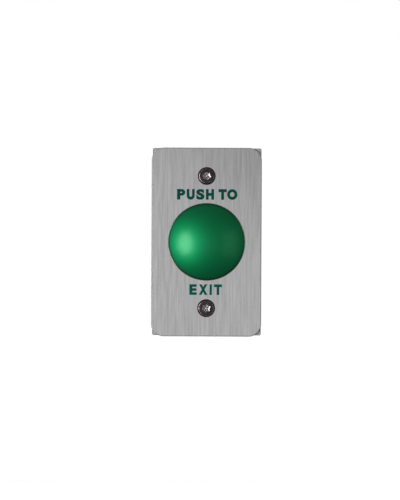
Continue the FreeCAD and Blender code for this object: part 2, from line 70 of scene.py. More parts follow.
# Numbers of the mix node's sockets for colours: its two inputs and its output
MIX_FIRST, MIX_SECOND, MIX_RESULT = 6, 7, 2

# Radii on the button's head between which painted shade darkens its rim
RIM_SHADE_RADII = (21.9 * MM, 23.3 * MM)

# Screw threads: where the ridge's crest starts and ends and where its foot ends, and how far it sinks
# into the core, all in pitches, and the faces in a turn
RIDGE_SHARES = (0.42, 0.54, 0.96)
RIDGE_SINK = 0.1
THREAD_STEPS = 36

# Least angle in degrees that counts as sharp, and the angle under which a solid's triangles are merged
SHARP_ANGLE = 32.0
FLAT_ANGLE = 0.6

WHITE = (1.0, 1.0, 1.0, 1.0)
LOG = logging.getLogger("door_exit_button")

Piece = bpy.types.Object
Socket = bpy.types.NodeSocket
Trace = list[tuple[float, float]]
Colour = tuple[float, float, float]
Triple = tuple[float, float, float]
SocketPair = tuple[Socket, Socket]
VectorTest = Callable[[Vector, Vector], bool]


class Body(Enum):
    """The bodies that pieces ride on."""

    HOUSING = "housing"
    BUTTON = "button"
    NO_PLUNGER = "no_plunger"
    NC_PLUNGER = "nc_plunger"


class Joinery(Enum):
    """Ways to combine a piece with a tool piece."""

    CUT = "DIFFERENCE"
    KEEP_COMMON = "INTERSECT"
    FUSE = "UNION"


class MeshPart(Enum):
    """Parts of a mesh that can be selected."""

    VERTEX = "vertices"
    EDGE = "edges"
    FACE = "polygons"


@dataclass(frozen=True)
class Span:
    """The room that a solid takes up at rest."""

    low: Vector
    high: Vector

    @classmethod
    def of(cls, node: str) -> "Span":
        """Measure a solid by its node's name."""
        return cls(*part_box(node))

    @property
    def front(self) -> float:
        """Depth of the front face."""
        return self.low.y

    @property
    def rear(self) -> float:
        """Depth of the rear face."""
        return self.high.y

    @property
    def radius(self) -> float:
        """Half of the width."""
        return (self.high.x - self.low.x) / 2

    @property
    def middle(self) -> Vector:
        """Centre of the room."""
        return (self.low + self.high) / 2


@dataclass(frozen=True)
class Corner:
    """One corner of a turned outline: its radius, its depth along Y and how far it is rounded."""

    radius: float
    depth: float
    rounding: float = 0.0


def traced(corners: Sequence[Corner], closed: bool, steps: int = 4) -> Trace:
    """Trace an outline through its corners, with an arc at each rounded one.

    Args:
        corners: The corners in order.
        closed: Whether the last corner joins the first.
        steps: Straight runs in each arc.

    Returns:
        The outline as (radius, depth) points.
    """
    places = [Vector((corner.radius, corner.depth, 0.0)) for corner in corners]
    trace: Trace = []
    for index, corner in enumerate(corners):
        place = places[index]
        at_end = not closed and index in (0, len(corners) - 1)
        if corner.rounding == 0.0 or at_end:
            trace.append((place.x, place.y))
            continue
        before = (places[index - 1] - place).normalized()
        after = (places[(index + 1) % len(places)] - place).normalized()
        half = before.angle(after) / 2
        centre = place + (before + after).normalized() * (corner.rounding / math.sin(half))
        start = (place + before * (corner.rounding / math.tan(half)) - centre).normalized()
        end = (place + after * (corner.rounding / math.tan(half)) - centre).normalized()
        for step in range(steps + 1):
            point = centre + start.slerp(end, step / steps) * corner.rounding
            trace.append((point.x, point.y))
    return trace


def rotation(degrees: float, axis: str) -> Matrix:
    """Make a rotation about one of the axes through the origin."""
    return Matrix.Rotation(math.radians(degrees), 4, axis)


def labelled(piece: Piece, name: str) -> Piece:
    """Name a piece and its mesh."""
    piece.name = piece.data.name = name
    return piece


def clear_selection() -> None:
    """Deselect every object, so that the next operator acts on its own piece alone."""
    bpy.ops.object.select_all(action="DESELECT")


def activate(piece: Piece) -> None:
    """Select one piece alone and make it active."""
    clear_selection()
    piece.select_set(True)
    bpy.context.view_layer.objects.active = piece


def choose(piece: Piece, part: MeshPart, chosen: Callable[[Any], bool]) -> None:
    """Open a piece in edit mode with the parts of its mesh selected that pass a test.

    Args:
        piece: The piece to open.
        part: Which parts of the mesh are tested.
        chosen: Says for one part whether it is selected.
    """
    activate(piece)
    mesh = piece.data
    for kind in MeshPart:
        for item in getattr(mesh, kind.value):
            item.select = kind is part and chosen(item)
    bpy.context.tool_settings.mesh_select_mode = [kind is part for kind in MeshPart]
    bpy.ops.object.mode_set(mode="EDIT")


def leave_edit() -> None:
    """Go back to selecting by vertices and leave edit mode."""
    bpy.context.tool_settings.mesh_select_mode = [True, False, False]
    bpy.ops.object.mode_set(mode="OBJECT")


def select_mesh() -> None:
    """Select all of the mesh that is open in edit mode."""
    bpy.ops.mesh.select_all(action="SELECT")


def start_edit(piece: Piece) -> None:
    """Open a piece in edit mode with all of its mesh selected."""
    activate(piece)
    bpy.ops.object.mode_set(mode="EDIT")
    select_mesh()


def seal_seams() -> None:
    """Merge doubled points, point the normals outwards and leave edit mode."""
    select_mesh()
    bpy.ops.mesh.remove_doubles(threshold=MERGE)
    bpy.ops.mesh.dissolve_degenerate(threshold=MERGE)
    select_mesh()
    bpy.ops.mesh.normals_make_consistent(inside=False)
    bpy.ops.object.mode_set(mode="OBJECT")


def extrude(run: Triple) -> None:
    """Extrude what is selected in edit mode along a run."""
    bpy.ops.mesh.extrude_region_move(TRANSFORM_OT_translate={"value": run})


def apply_modifier(piece: Piece, kind: str, **settings: Any) -> None:
    """Add a modifier to a piece and apply it.

    Args:
        piece: The piece to change.
        kind: The modifier's type.
        settings: Its settings by name.
    """
    activate(piece)
    modifier = piece.modifiers.new(kind.lower(), kind)
    for name, value in settings.items():
        setattr(modifier, name, value)
    bpy.ops.object.modifier_apply(modifier=modifier.name)


def combine(piece: Piece, tool: Piece, how: Joinery) -> None:
    """Cut, intersect or fuse a piece with a tool piece, which is then thrown away."""
    apply_modifier(piece, "BOOLEAN", object=tool, operation=how.value, solver="EXACT")
    bpy.data.objects.remove(tool)


def joined(name: str, pieces: Sequence[Piece]) -> Piece:
    """Join pieces into the first of them and name it."""
    activate(pieces[0])
    for piece in pieces[1:]:
        piece.select_set(True)
    if len(pieces) > 1:
        bpy.ops.object.join()
    return labelled(pieces[0], name)


def placed_copy(piece: Piece, place: Matrix) -> Piece:
    """Copy a piece with its own mesh and move the copy's mesh to a place."""
    copy = bpy.data.objects.new(piece.name, piece.data.copy())
    bpy.context.scene.collection.objects.link(copy)
    copy.matrix_world = place
    activate(copy)
    bpy.ops.object.transform_apply(location=True, rotation=True, scale=True)
    return copy


def repeated(name: str, piece: Piece, places: Sequence[Matrix]) -> Piece:
    """Copy a piece to each place, join the copies and throw the pattern piece away."""
    copies = [placed_copy(piece, place) for place in places]
    bpy.data.objects.remove(piece)
    return joined(name, copies)


def smoothed(piece: Piece, angle: float = SHARP_ANGLE) -> Piece:
    """Shade a piece smooth, except across edges sharper than an angle in degrees."""
    activate(piece)
    bpy.ops.object.shade_smooth_by_angle(angle=math.radians(angle))
    return piece


def edges_broken(piece: Piece, width: float, segments: int = 2, angle: float = SHARP_ANGLE) -> Piece:
    """Round a piece's sharp edges and shade it smooth.

    Args:
        piece: The piece to change.
        width: How far in from each edge the rounding starts.
        segments: Faces across each rounding.
        angle: The least angle in degrees that counts as sharp.

    Returns:
        The same piece.
    """
    apply_modifier(
        piece, "BEVEL", width=width, segments=segments, limit_method="ANGLE",
        angle_limit=math.radians(angle),
    )
    smoothed(piece, angle)
    apply_modifier(piece, "WEIGHTED_NORMAL", keep_sharp=True)
    return piece


def drawn(name: str, trace: Trace) -> Piece:
    """Draw a chain of edges in the plane z = 0 and stay in edit mode."""
    clear_selection()
    bpy.ops.mesh.primitive_plane_add(size=MM)
    piece = labelled(bpy.context.object, name)
    bpy.ops.object.mode_set(mode="EDIT")
    bpy.ops.mesh.merge(type="CENTER")
    bpy.ops.transform.translate(value=(*trace[0], 0.0))
    for here, there in zip(trace, trace[1:]):
        extrude((there[0] - here[0], there[1] - here[1], 0.0))
    return piece


def turned(name: str, corners: Sequence[Corner] | Trace, closed: bool = False, steps: int = 96) -> Piece:
    """Turn an outline about the Y axis, as on a lathe.

    Args:
        name: The piece's name.
        corners: The outline, as corners or as points traced already.
        closed: Whether the outline is a ring that stays clear of the axis.
        steps: Faces round the axis.

    Returns:
        The turned piece.
    """
    is_trace = isinstance(corners[0], tuple)
    trace = list(corners) if is_trace else traced(corners, closed)
    piece = drawn(name, trace + trace[:1] if closed else trace)
    select_mesh()
    bpy.ops.mesh.spin(steps=steps, angle=math.tau, center=(0, 0, 0), axis=(0, 1, 0))
    seal_seams()
    return smoothed(piece)


def block(name: str, low: Triple, high: Triple) -> Piece:
    """Make a block between two opposite corners."""
    clear_selection()
    bpy.ops.mesh.primitive_cube_add(size=1.0)
    piece = labelled(bpy.context.object, name)
    piece.location = (Vector(low) + Vector(high)) / 2
    piece.scale = Vector(high) - Vector(low)
    bpy.ops.object.transform_apply(location=True, rotation=False, scale=True)
    return piece


def screw_ridge(name: str, root: float, crest: float, pitch: float, front: float, rear: float) -> Piece:
    """Wind the ridge of a screw thread about the Y axis.

    Args:
        name: The piece's name.
        root: Radius of the core that the ridge stands on.
        crest: Radius of the ridge's top.
        pitch: Advance in one turn.
        front: Depth where the thread starts.
        rear: Depth where it ends.

    Returns:
        The ridge, closed at both ends.
    """
    sunk = root - RIDGE_SINK * pitch
    crest_front, crest_rear, foot = (front + share * pitch for share in RIDGE_SHARES)
    profile = [(sunk, front), (crest, crest_front), (crest, crest_rear), (sunk, foot)]
    piece = drawn(name, profile + profile[:1])
    select_mesh()
    bpy.ops.mesh.remove_doubles(threshold=MERGE)
    bpy.ops.object.mode_set(mode="OBJECT")
    turns = int((rear - front) / pitch) - 1
    apply_modifier(
        piece, "SCREW", axis="Y", screw_offset=pitch, iterations=turns, steps=THREAD_STEPS,
        render_steps=THREAD_STEPS, use_merge_vertices=False,
    )
    start_edit(piece)
    bpy.ops.mesh.fill_holes(sides=0)
    seal_seams()
    return smoothed(piece)


def cleaned_copy(name: str, node: str) -> Piece:
    """Copy a solid's mesh and merge its loose triangles into whole faces."""
    piece = bpy.data.objects.new(name, bpy.data.objects[node].data.copy())
    bpy.context.scene.collection.objects.link(piece)
    activate(piece)
    bpy.ops.mesh.customdata_custom_splitnormals_clear()
    start_edit(piece)
    bpy.ops.mesh.remove_doubles(threshold=MERGE)
    bpy.ops.mesh.dissolve_limited(angle_limit=math.radians(FLAT_ANGLE), delimit=set())
    bpy.ops.object.mode_set(mode="OBJECT")
    return piece


class NodeSheet:
    """A node tree that is filled by short calls."""

    def __init__(self, tree: bpy.types.NodeTree) -> None:
        """Take the tree to fill and empty it."""
        self.tree = tree
        self.tree.nodes.clear()

    def add(self, kind: str, inputs: dict[str | int, Any] | None = None, **settings: Any) -> bpy.types.Node:
        """Add a node.

        Args:
            kind: The node's type, without its common prefix.
            inputs: Values or sockets by the input's name or number.
            settings: The node's own settings.

        Returns:
            The new node.
        """
        node = self.tree.nodes.new(kind if kind.startswith("Node") else "ShaderNode" + kind)
        for name, value in settings.items():
            setattr(node, name, value)
        for name, value in (inputs or {}).items():
            if isinstance(value, Socket):
                self.tree.links.new(value, node.inputs[name])
            else:
                node.inputs[name].default_value = value
        return node

    def sum(self, operation: str, *values: float | Socket) -> Socket:
        """Work out one step of arithmetic."""
        return self.add("Math", dict(enumerate(values)), operation=operation).outputs[0]

    def stretch(self, value: Socket, low: float, high: float, to: tuple[Any, Any] = (0.0, 1.0)) -> Socket:
        """Map a value from one range to another, held within it."""
        ends = {"Value": value, "From Min": low, "From Max": high, "To Min": to[0], "To Max": to[1]}
        return self.add("MapRange", ends, clamp=True).outputs[0]

    def blend(self, share: Socket, first: Any, second: Any) -> Socket:
        """Blend two colours by a share."""
        opaque = [(*c, 1.0) if isinstance(c, tuple) else c for c in (first, second)]
        inputs = {0: share, MIX_FIRST: opaque[0], MIX_SECOND: opaque[1]}
        return self.add("Mix", inputs, data_type="RGBA").outputs[MIX_RESULT]

    def weighed(self, first: Socket, second: Socket, share: float) -> Socket:
        """Mix two values by the first one's share."""
        return self.sum("ADD", self.sum("MULTIPLY", first, share), self.sum("MULTIPLY", second, 1.0 - share))

    def from_axis(self, place: Socket) -> SocketPair:
        """Distance of a place from the Y axis, and its depth along it."""
        parts = self.add("SeparateXYZ", {0: place}).outputs
        squares = [self.sum("POWER", part, 2.0) for part in (parts[0], parts[2])]
        return self.sum("SQRT", self.sum("ADD", *squares)), parts[1]

    def noise(self, place: Socket, scale: Any, detail: float = 3.0, roughness: float = 0.55) -> Socket:
        """Noise at a place, as a value round a half."""
        inputs = {"Vector": place, "Scale": scale, "Detail": detail, "Roughness": roughness}
        return self.add("TexNoise", inputs).outputs[0]


class Relief(Enum):
    """Surfaces as their making leaves them, and one with painted shade at the rim of the button's head, each
    a node group with the same sockets.
    """

    BRUSHED = "brushed"
    TURNED = "turned"
    DYED = "dyed"
    MOULDED = "moulded"
    FOAMED = "foamed"
    PLATED = "plated"

    def group(self) -> bpy.types.NodeTree:
        """Find the node group, or build it the first time.

        Returns:
            A group that takes a place, a scale and a stretch and gives a mask and a height.
        """
        name = f"relief_{self.value}"
        if name in bpy.data.node_groups:
            return bpy.data.node_groups[name]
        tree = bpy.data.node_groups.new(name, "ShaderNodeTree")
        sheet = NodeSheet(tree)
        for label, side, kind in (
            ("Place", "INPUT", "Vector"),
            ("Scale", "INPUT", "Float"),
            ("Stretch", "INPUT", "Float"),
            ("Mask", "OUTPUT", "Float"),
            ("Height", "OUTPUT", "Float"),
        ):
            tree.interface.new_socket(name=label, in_out=side, socket_type=f"NodeSocket{kind}")
        outputs = sheet.add("NodeGroupInput").outputs
        given = [outputs[label] for label in ("Place", "Scale", "Stretch")]
        builders = {
            Relief.BRUSHED: self._brushed,
            Relief.TURNED: self._turned,
            Relief.DYED: self._dyed,
            Relief.MOULDED: self._moulded,
            Relief.FOAMED: self._foamed,
            Relief.PLATED: self._plated,
        }
        mask, height = builders[self](sheet, *given)
        sheet.add("NodeGroupOutput", {"Mask": mask, "Height": height})
        return tree

    def _brushed(self, sheet: NodeSheet, place: Socket, scale: Socket, stretch: Socket) -> SocketPair:
        """Straight strokes along Z, in a coarse and a fine layer."""
        shorter, finer = 0.7, 5.0
        along = [
            sheet.add("VectorMath", {0: place, 1: across}, operation="MULTIPLY").outputs[0]
            for across in (
                sheet.add("CombineXYZ", {0: 1.0, 1: 1.0, 2: reach}).outputs[0]
                for reach in (sheet.sum("MULTIPLY", stretch, shorter), stretch)
            )
        ]
        coarse = sheet.noise(along[0], scale, detail=1.0, roughness=0.4)
        fine = sheet.noise(along[1], sheet.sum("MULTIPLY", scale, finer), roughness=0.7)
        return sheet.stretch(sheet.weighed(coarse, fine, share=0.5), low=0.32, high=0.68), fine

    def _turned(self, sheet: NodeSheet, place: Socket, scale: Socket, stretch: Socket) -> SocketPair:
        """Rings that a lathe's tool leaves about the Y axis."""
        radius, depth = sheet.from_axis(place)
        rings = sheet.add("CombineXYZ", {0: radius, 1: depth, 2: 0.0}).outputs[0]
        height = sheet.noise(rings, scale, roughness=0.6)
        patches = sheet.noise(place, sheet.sum("MULTIPLY", scale, stretch))
        return sheet.stretch(sheet.weighed(patches, height, share=0.6), low=0.38, high=0.62), height

    def _dyed(self, sheet: NodeSheet, place: Socket, scale: Socket, stretch: Socket) -> SocketPair:
        """Turned rings, with painted shade that darkens the rim of the button's head."""
        mask, height = self._turned(sheet, place, scale, stretch)
        # Painted shade: between these radii the mask falls to nought, so the head's rim takes the finish's
        # dark colour
        field = sheet.stretch(sheet.from_axis(place)[0], *RIM_SHADE_RADII, (1.0, 0.0))
        return sheet.sum("MULTIPLY", field, sheet.stretch(mask, 0.0, 1.0, to=(0.86, 1.0))), height

    def _moulded(self, sheet: NodeSheet, place: Socket, scale: Socket, stretch: Socket) -> SocketPair:
        """Fine even grain of a spark-eroded mould, with faint cloudy patches."""
        grain = sheet.noise(place, scale, roughness=0.65)
        patches = sheet.noise(place, sheet.sum("MULTIPLY", scale, stretch), detail=2.0)
        return sheet.stretch(sheet.weighed(patches, grain, share=0.6), low=0.36, high=0.64), grain

    def _foamed(self, sheet: NodeSheet, place: Socket, scale: Socket, stretch: Socket) -> SocketPair:
        """Closed cells of foam, with thin walls between rounded pits."""
        cells = sheet.add("TexVoronoi", {"Vector": place, "Scale": scale}, feature="F1").outputs["Distance"]
        walls = sheet.stretch(cells, low=0.1, high=0.75)
        patches = sheet.noise(place, sheet.sum("MULTIPLY", scale, stretch))
        return sheet.stretch(sheet.weighed(walls, patches, share=0.5), low=0.25, high=0.75), walls

    def _plated(self, sheet: NodeSheet, place: Socket, scale: Socket, stretch: Socket) -> SocketPair:
        """Small crystals of plating over a slightly uneven base."""
        crystals = sheet.add("TexVoronoi", {"Vector": place, "Scale": scale}, feature="F1").outputs["Color"]
        shade = sheet.add("SeparateColor", {0: crystals}).outputs[0]
        patches = sheet.noise(place, sheet.sum("MULTIPLY", scale, stretch), detail=4.0)
        return sheet.stretch(sheet.weighed(shade, patches, share=0.3), low=0.3, high=0.7), patches


@dataclass(frozen=True)
class Finish:
    """A finish: its place in the record, its two shades, its gloss and its surface relief."""

    slot: str
    dark: Colour
    light: Colour
    roughness: tuple[float, float]
    relief: Relief
    scale: float
    stretch: float
    bump: float
    bump_depth: float
    metallic: float = 0.0
    coat: float = 0.0
    coat_roughness: float = 0.2
    specular: float = 0.5
    suffix: str = "_finish"

    def material(self) -> bpy.types.Material:
        """Find the finish's material, or build it the first time.

        Returns:
            The material.
        """
        name = self.slot + self.suffix
        if name in bpy.data.materials:
            return bpy.data.materials[name]
        material = bpy.data.materials.new(name)
        material.use_nodes = True
        sheet = NodeSheet(material.node_tree)
        place = sheet.add("TexCoord").outputs["Object"]
        relief = sheet.add("Group", node_tree=self.relief.group())
        sheet.tree.links.new(place, relief.inputs["Place"])
        relief.inputs["Scale"].default_value = self.scale
        relief.inputs["Stretch"].default_value = self.stretch
        mask, height = relief.outputs["Mask"], relief.outputs["Height"]
        bump = sheet.add("Bump", {"Strength": self.bump, "Distance": self.bump_depth, "Height": height})
        shader = sheet.add("BsdfPrincipled", {
            "Base Color": sheet.blend(mask, self.dark, self.light),
            "Roughness": sheet.stretch(mask, 0.0, 1.0, self.roughness),
            "Metallic": self.metallic,
            "Specular IOR Level": self.specular,
            "Coat Weight": self.coat,
            "Coat Roughness": self.coat_roughness,
            "Normal": bump.outputs["Normal"],
        })
        sheet.add("OutputMaterial", {"Surface": shader.outputs["BSDF"]})
        material.diffuse_color = (*self.light, 1.0)
        return material

    def dress(self, piece: Piece) -> None:
        """Give a piece this finish alone."""
        piece.data.materials.clear()
        piece.data.materials.append(self.material())


BRUSHED_STAINLESS = Finish(
    "brushed_stainless", (0.60, 0.60, 0.605), (0.86, 0.855, 0.86), (0.11, 0.17), Relief.BRUSHED,
    1150.0, 0.07, 0.05, 0.01 * MM, metallic=1.0,
)
# Rougher finish for the plate's edge roundings, sides and rear, its darker colour painted shade that outlines
# the edges
SHADED_EDGE_STAINLESS = Finish(
    "brushed_stainless", (0.36, 0.36, 0.365), (0.50, 0.495, 0.50), (0.66, 0.76), Relief.PLATED,
    2400.0, 0.1, 0.2, 0.02 * MM, metallic=1.0, suffix="_cut_edge",
)
LIGHT_GREY_FOAM = Finish(
    "light_grey_foam", (0.50, 0.50, 0.51), (0.60, 0.60, 0.61), (0.75, 0.9), Relief.FOAMED,
    2600.0, 0.06, 0.25, 0.10 * MM,
)
# Painted shade for the gasket's rounded edges and sides: a much darker grey than its faces
SHADED_EDGE_FOAM = Finish(
    "light_grey_foam", (0.16, 0.16, 0.165), (0.24, 0.24, 0.245), (0.8, 0.9), Relief.FOAMED,
    2200.0, 0.06, 0.4, 0.12 * MM, suffix="_cut_edge",
)
BLACK_SCREW = Finish(
    "black_screw", (0.020, 0.014, 0.017), (0.050, 0.034, 0.040), (0.28, 0.40), Relief.TURNED,
    3500.0, 0.2, 0.12, 0.02 * MM, metallic=0.7, coat=0.45, coat_roughness=0.2,
)
# Painted highlight: a ring of lighter metal on the head's rounded shoulder
SHOULDER_HIGHLIGHT = Finish(
    "black_screw", (0.03, 0.022, 0.026), (0.32, 0.27, 0.29), (0.28, 0.38), Relief.PLATED,
    1300.0, 0.5, 0.1, 0.02 * MM, metallic=1.0, suffix="_worn",
)
# Painted glints: a lighter metal for the socket's walls, floor and pin than the black head
SOCKET_GLINT = Finish(
    "black_screw", (0.34, 0.31, 0.325), (0.66, 0.62, 0.64), (0.40, 0.52), Relief.PLATED,
    1800.0, 0.3, 0.1, 0.02 * MM, metallic=1.0, suffix="_socket",
)
CHROMED_BRASS = Finish(
    "chromed_brass", (0.62, 0.63, 0.64), (0.74, 0.75, 0.76), (0.10, 0.18), Relief.TURNED,
    2500.0, 0.05, 0.05, 0.01 * MM, metallic=1.0,
)
BLACK_RUBBER = Finish(
    "black_rubber", (0.012, 0.012, 0.013), (0.03, 0.03, 0.031), (0.62, 0.8), Relief.MOULDED,
    5200.0, 0.03, 0.3, 0.03 * MM,
)
ZINC_PLATED_STEEL = Finish(
    "zinc_plated_steel", (0.48, 0.49, 0.50), (0.66, 0.67, 0.66), (0.24, 0.38), Relief.PLATED,
    2600.0, 0.08, 0.12, 0.02 * MM, metallic=1.0,
)
# The dark colour is painted shade for the rim of the head; the light colour is the anodised green
GREEN_ANODISED = Finish(
    "green_anodised", (0.012, 0.132, 0.062), (0.0005, 0.248, 0.082), (0.50, 0.57), Relief.DYED,
    2800.0, 0.03, 0.05, 0.01 * MM, metallic=1.0, coat=0.34, coat_roughness=0.26,
)
TURNED_ALUMINIUM = Finish(
    "turned_aluminium", (0.60, 0.60, 0.61), (0.74, 0.74, 0.75), (0.2, 0.34), Relief.TURNED,
    3200.0, 0.05, 0.2, 0.03 * MM, metallic=1.0,
)
SPRING_STEEL = Finish(
    "spring_steel", (0.30, 0.30, 0.31), (0.45, 0.45, 0.46), (0.22, 0.36), Relief.PLATED,
    4200.0, 0.1, 0.1, 0.01 * MM, metallic=1.0,
)
WHITE_NYLON = Finish(
    "white_nylon", (0.66, 0.65, 0.61), (0.78, 0.77, 0.73), (0.4, 0.52), Relief.MOULDED,
    4200.0, 0.03, 0.15, 0.02 * MM,
)
BLACK_NYLON = Finish(
    "black_nylon", (0.012, 0.012, 0.013), (0.026, 0.026, 0.028), (0.42, 0.58), Relief.MOULDED,
    4200.0, 0.03, 0.25, 0.03 * MM,
)
DARK_GREY_CASE = Finish(
    "dark_grey_case", (0.045, 0.047, 0.050), (0.075, 0.078, 0.082), (0.45, 0.6), Relief.MOULDED,
    3800.0, 0.03, 0.25, 0.03 * MM,
)
GREEN_PLUNGER = Finish(
    "green_plunger", (0.01, 0.20, 0.045), (0.018, 0.28, 0.07), (0.36, 0.5), Relief.MOULDED,
    4200.0, 0.03, 0.15, 0.02 * MM,
)
RED_PLUNGER = Finish(
    "red_plunger", (0.36, 0.012, 0.01), (0.48, 0.02, 0.016), (0.36, 0.5), Relief.MOULDED,
    4200.0, 0.03, 0.15, 0.02 * MM,
)
CONTACT_BRASS = Finish(
    "contact_brass", (0.60, 0.42, 0.17), (0.76, 0.56, 0.26), (0.2, 0.34), Relief.PLATED,
    3600.0, 0.08, 0.1, 0.02 * MM, metallic=1.0,
)
LEGEND_PAINT = Finish(
    "green_anodised", (0.001, 0.084, 0.060), (0.001, 0.106, 0.076), (0.5, 0.6), Relief.MOULDED,
    3000.0, 0.1, 0.1, 0.01 * MM, specular=0.04, suffix="_paint",
)
THIN_LEGEND_PAINT = Finish(
    "green_anodised", (0.001, 0.112, 0.078), (0.001, 0.140, 0.098), (0.5, 0.6), Relief.MOULDED,
    3000.0, 0.1, 0.1, 0.01 * MM, specular=0.04, suffix="_thin_paint",
)


def edge_dressed(piece: Piece, field: Finish, edge: Finish, is_field: VectorTest) -> Piece:
    """Give a piece one finish on its field and another on its edges.

    Args:
        piece: The piece to dress.
        field: The finish of the field.
        edge: The finish of the edges.
        is_field: Says for a face's centre and normal whether it belongs to the field.

    Returns:
        The same piece.
    """
    field.dress(piece)
    piece.data.materials.append(edge.material())
    for face in piece.data.polygons:
        face.material_index = int(not is_field(face.center, face.normal))
    return piece


def settled(piece: Piece, finish: Finish, body: Body, *nodes: str, dressed: bool = False) -> Piece:
    """Give a finished piece its finish and its body, and hide the solids that it stands for.

    Args:
        piece: The finished piece.
        finish: What it is made of.
        body: The body that it rides on.
        nodes: The solids that it replaces.
        dressed: Whether its materials are on it already.

    Returns:
        The same piece.
    """
    if not dressed:
        finish.dress(piece)
    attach(piece, body.value)
    if nodes:
        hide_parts(*nodes)
    return piece


def refined(node: str, finish: Finish, body: Body, rounding: float) -> Piece:
    """Replace a solid by a copy of itself with rounded edges."""
    piece = edges_broken(cleaned_copy(f"{node}_refined", node), rounding)
    return settled(piece, finish, body, node)


@dataclass(frozen=True)
class Coil:
    """A compression spring of round wire, wound along Y, that shortens as the button goes in."""

    radius: float
    wire: float
    turns: float
    keep: float
    wire_sides: int = 12
    steps: int = 24
    dead_rise: float = 2.04
    sharp_angle: float = 50.0

    def wound(self, name: str, span: Span, x: float) -> Piece:
        """Wind the wire, with a flat dead turn at each end.

        Args:
            name: The piece's name.
            span: The room that the spring takes up.
            x: Place of the spring's axis.

        Returns:
            The spring.
        """
        dead_rise = self.dead_rise * self.wire
        live_rise = (span.rear - span.front - 2 * self.wire - 2 * dead_rise) / (self.turns - 2)
        clear_selection()
        bpy.ops.mesh.primitive_circle_add(
            vertices=self.wire_sides, radius=self.wire, fill_type="NGON",
            location=(self.radius, span.front + self.wire, 0),
        )
        piece = labelled(bpy.context.object, name)
        bpy.ops.object.transform_apply(location=True, rotation=False, scale=False)
        bpy.ops.object.mode_set(mode="EDIT")
        select_mesh()
        for step in range(round(self.turns * self.steps)):
            is_dead = step < self.steps or step >= (self.turns - 1) * self.steps
            extrude((0, (dead_rise if is_dead else live_rise) / self.steps, 0))
            bpy.ops.transform.rotate(
                value=math.tau / self.steps, orient_axis="Y", center_override=(0, 0, 0),
            )
        select_mesh()
        bpy.ops.transform.translate(value=(x, 0, 0))
        seal_seams()
        return smoothed(piece, self.sharp_angle)

    def build(self, node: str, x: float = 0.0) -> Piece:
        """Wind the spring over its solid.

        Args:
            node: The solid that it replaces.
            x: Place of the spring's axis.

        Returns:
            The spring.
        """
        span = Span.of(node)
        spring = self.wound(f"{node}_wound", span, x)
        settled(spring, SPRING_STEEL, Body.HOUSING, node)
        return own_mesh(spring)


@dataclass(frozen=True)
class SlottedScrew:
    """A small slotted screw along Y, with its head towards +Y.

    The thread's root and pitch are shares of the shank's radius, the broken edge is one of the head's
    height, the top's rounding one of the broken edge, and the slot's cutter reaches past the head.
    """

    head: float
    head_height: float
    shank: float
    slot_width: float
    slot_depth: float
    root_share: float = 0.84
    pitch_share: float = 0.4
    break_share: float = 1 / 8
    top_rounding: float = 1.6
    overshoot: float = 1.1
    steps: int = 64

    def build(self, name: str, length: float) -> Piece:
        """Turn the screw with its head's seat at depth 0, slot it and wind its thread.

        Args:
            name: The piece's name.
            length: Length of the shank.

        Returns:
            The screw.
        """
        break_width = self.head_height * self.break_share
        root = self.shank * self.root_share
        screw = turned(name, [
            Corner(0, -length),
            Corner(root, -length, break_width),
            Corner(root, 0),
            Corner(self.head, 0, break_width / 2),
            Corner(self.head, self.head_height, break_width * self.top_rounding),
            Corner(0, self.head_height),
        ], steps=self.steps)
        low = (-self.head * self.overshoot, self.head_height - self.slot_depth, -self.slot_width / 2)
        high = (self.head * self.overshoot, self.head_height * self.overshoot, self.slot_width / 2)
        combine(screw, block("slot", low, high), Joinery.CUT)
        smoothed(screw)
        pitch = self.shank * self.pitch_share
        ridge = screw_ridge("ridge", root, self.shank, pitch, -length + break_width, -pitch / 2)
        return joined(name, [screw, ridge])


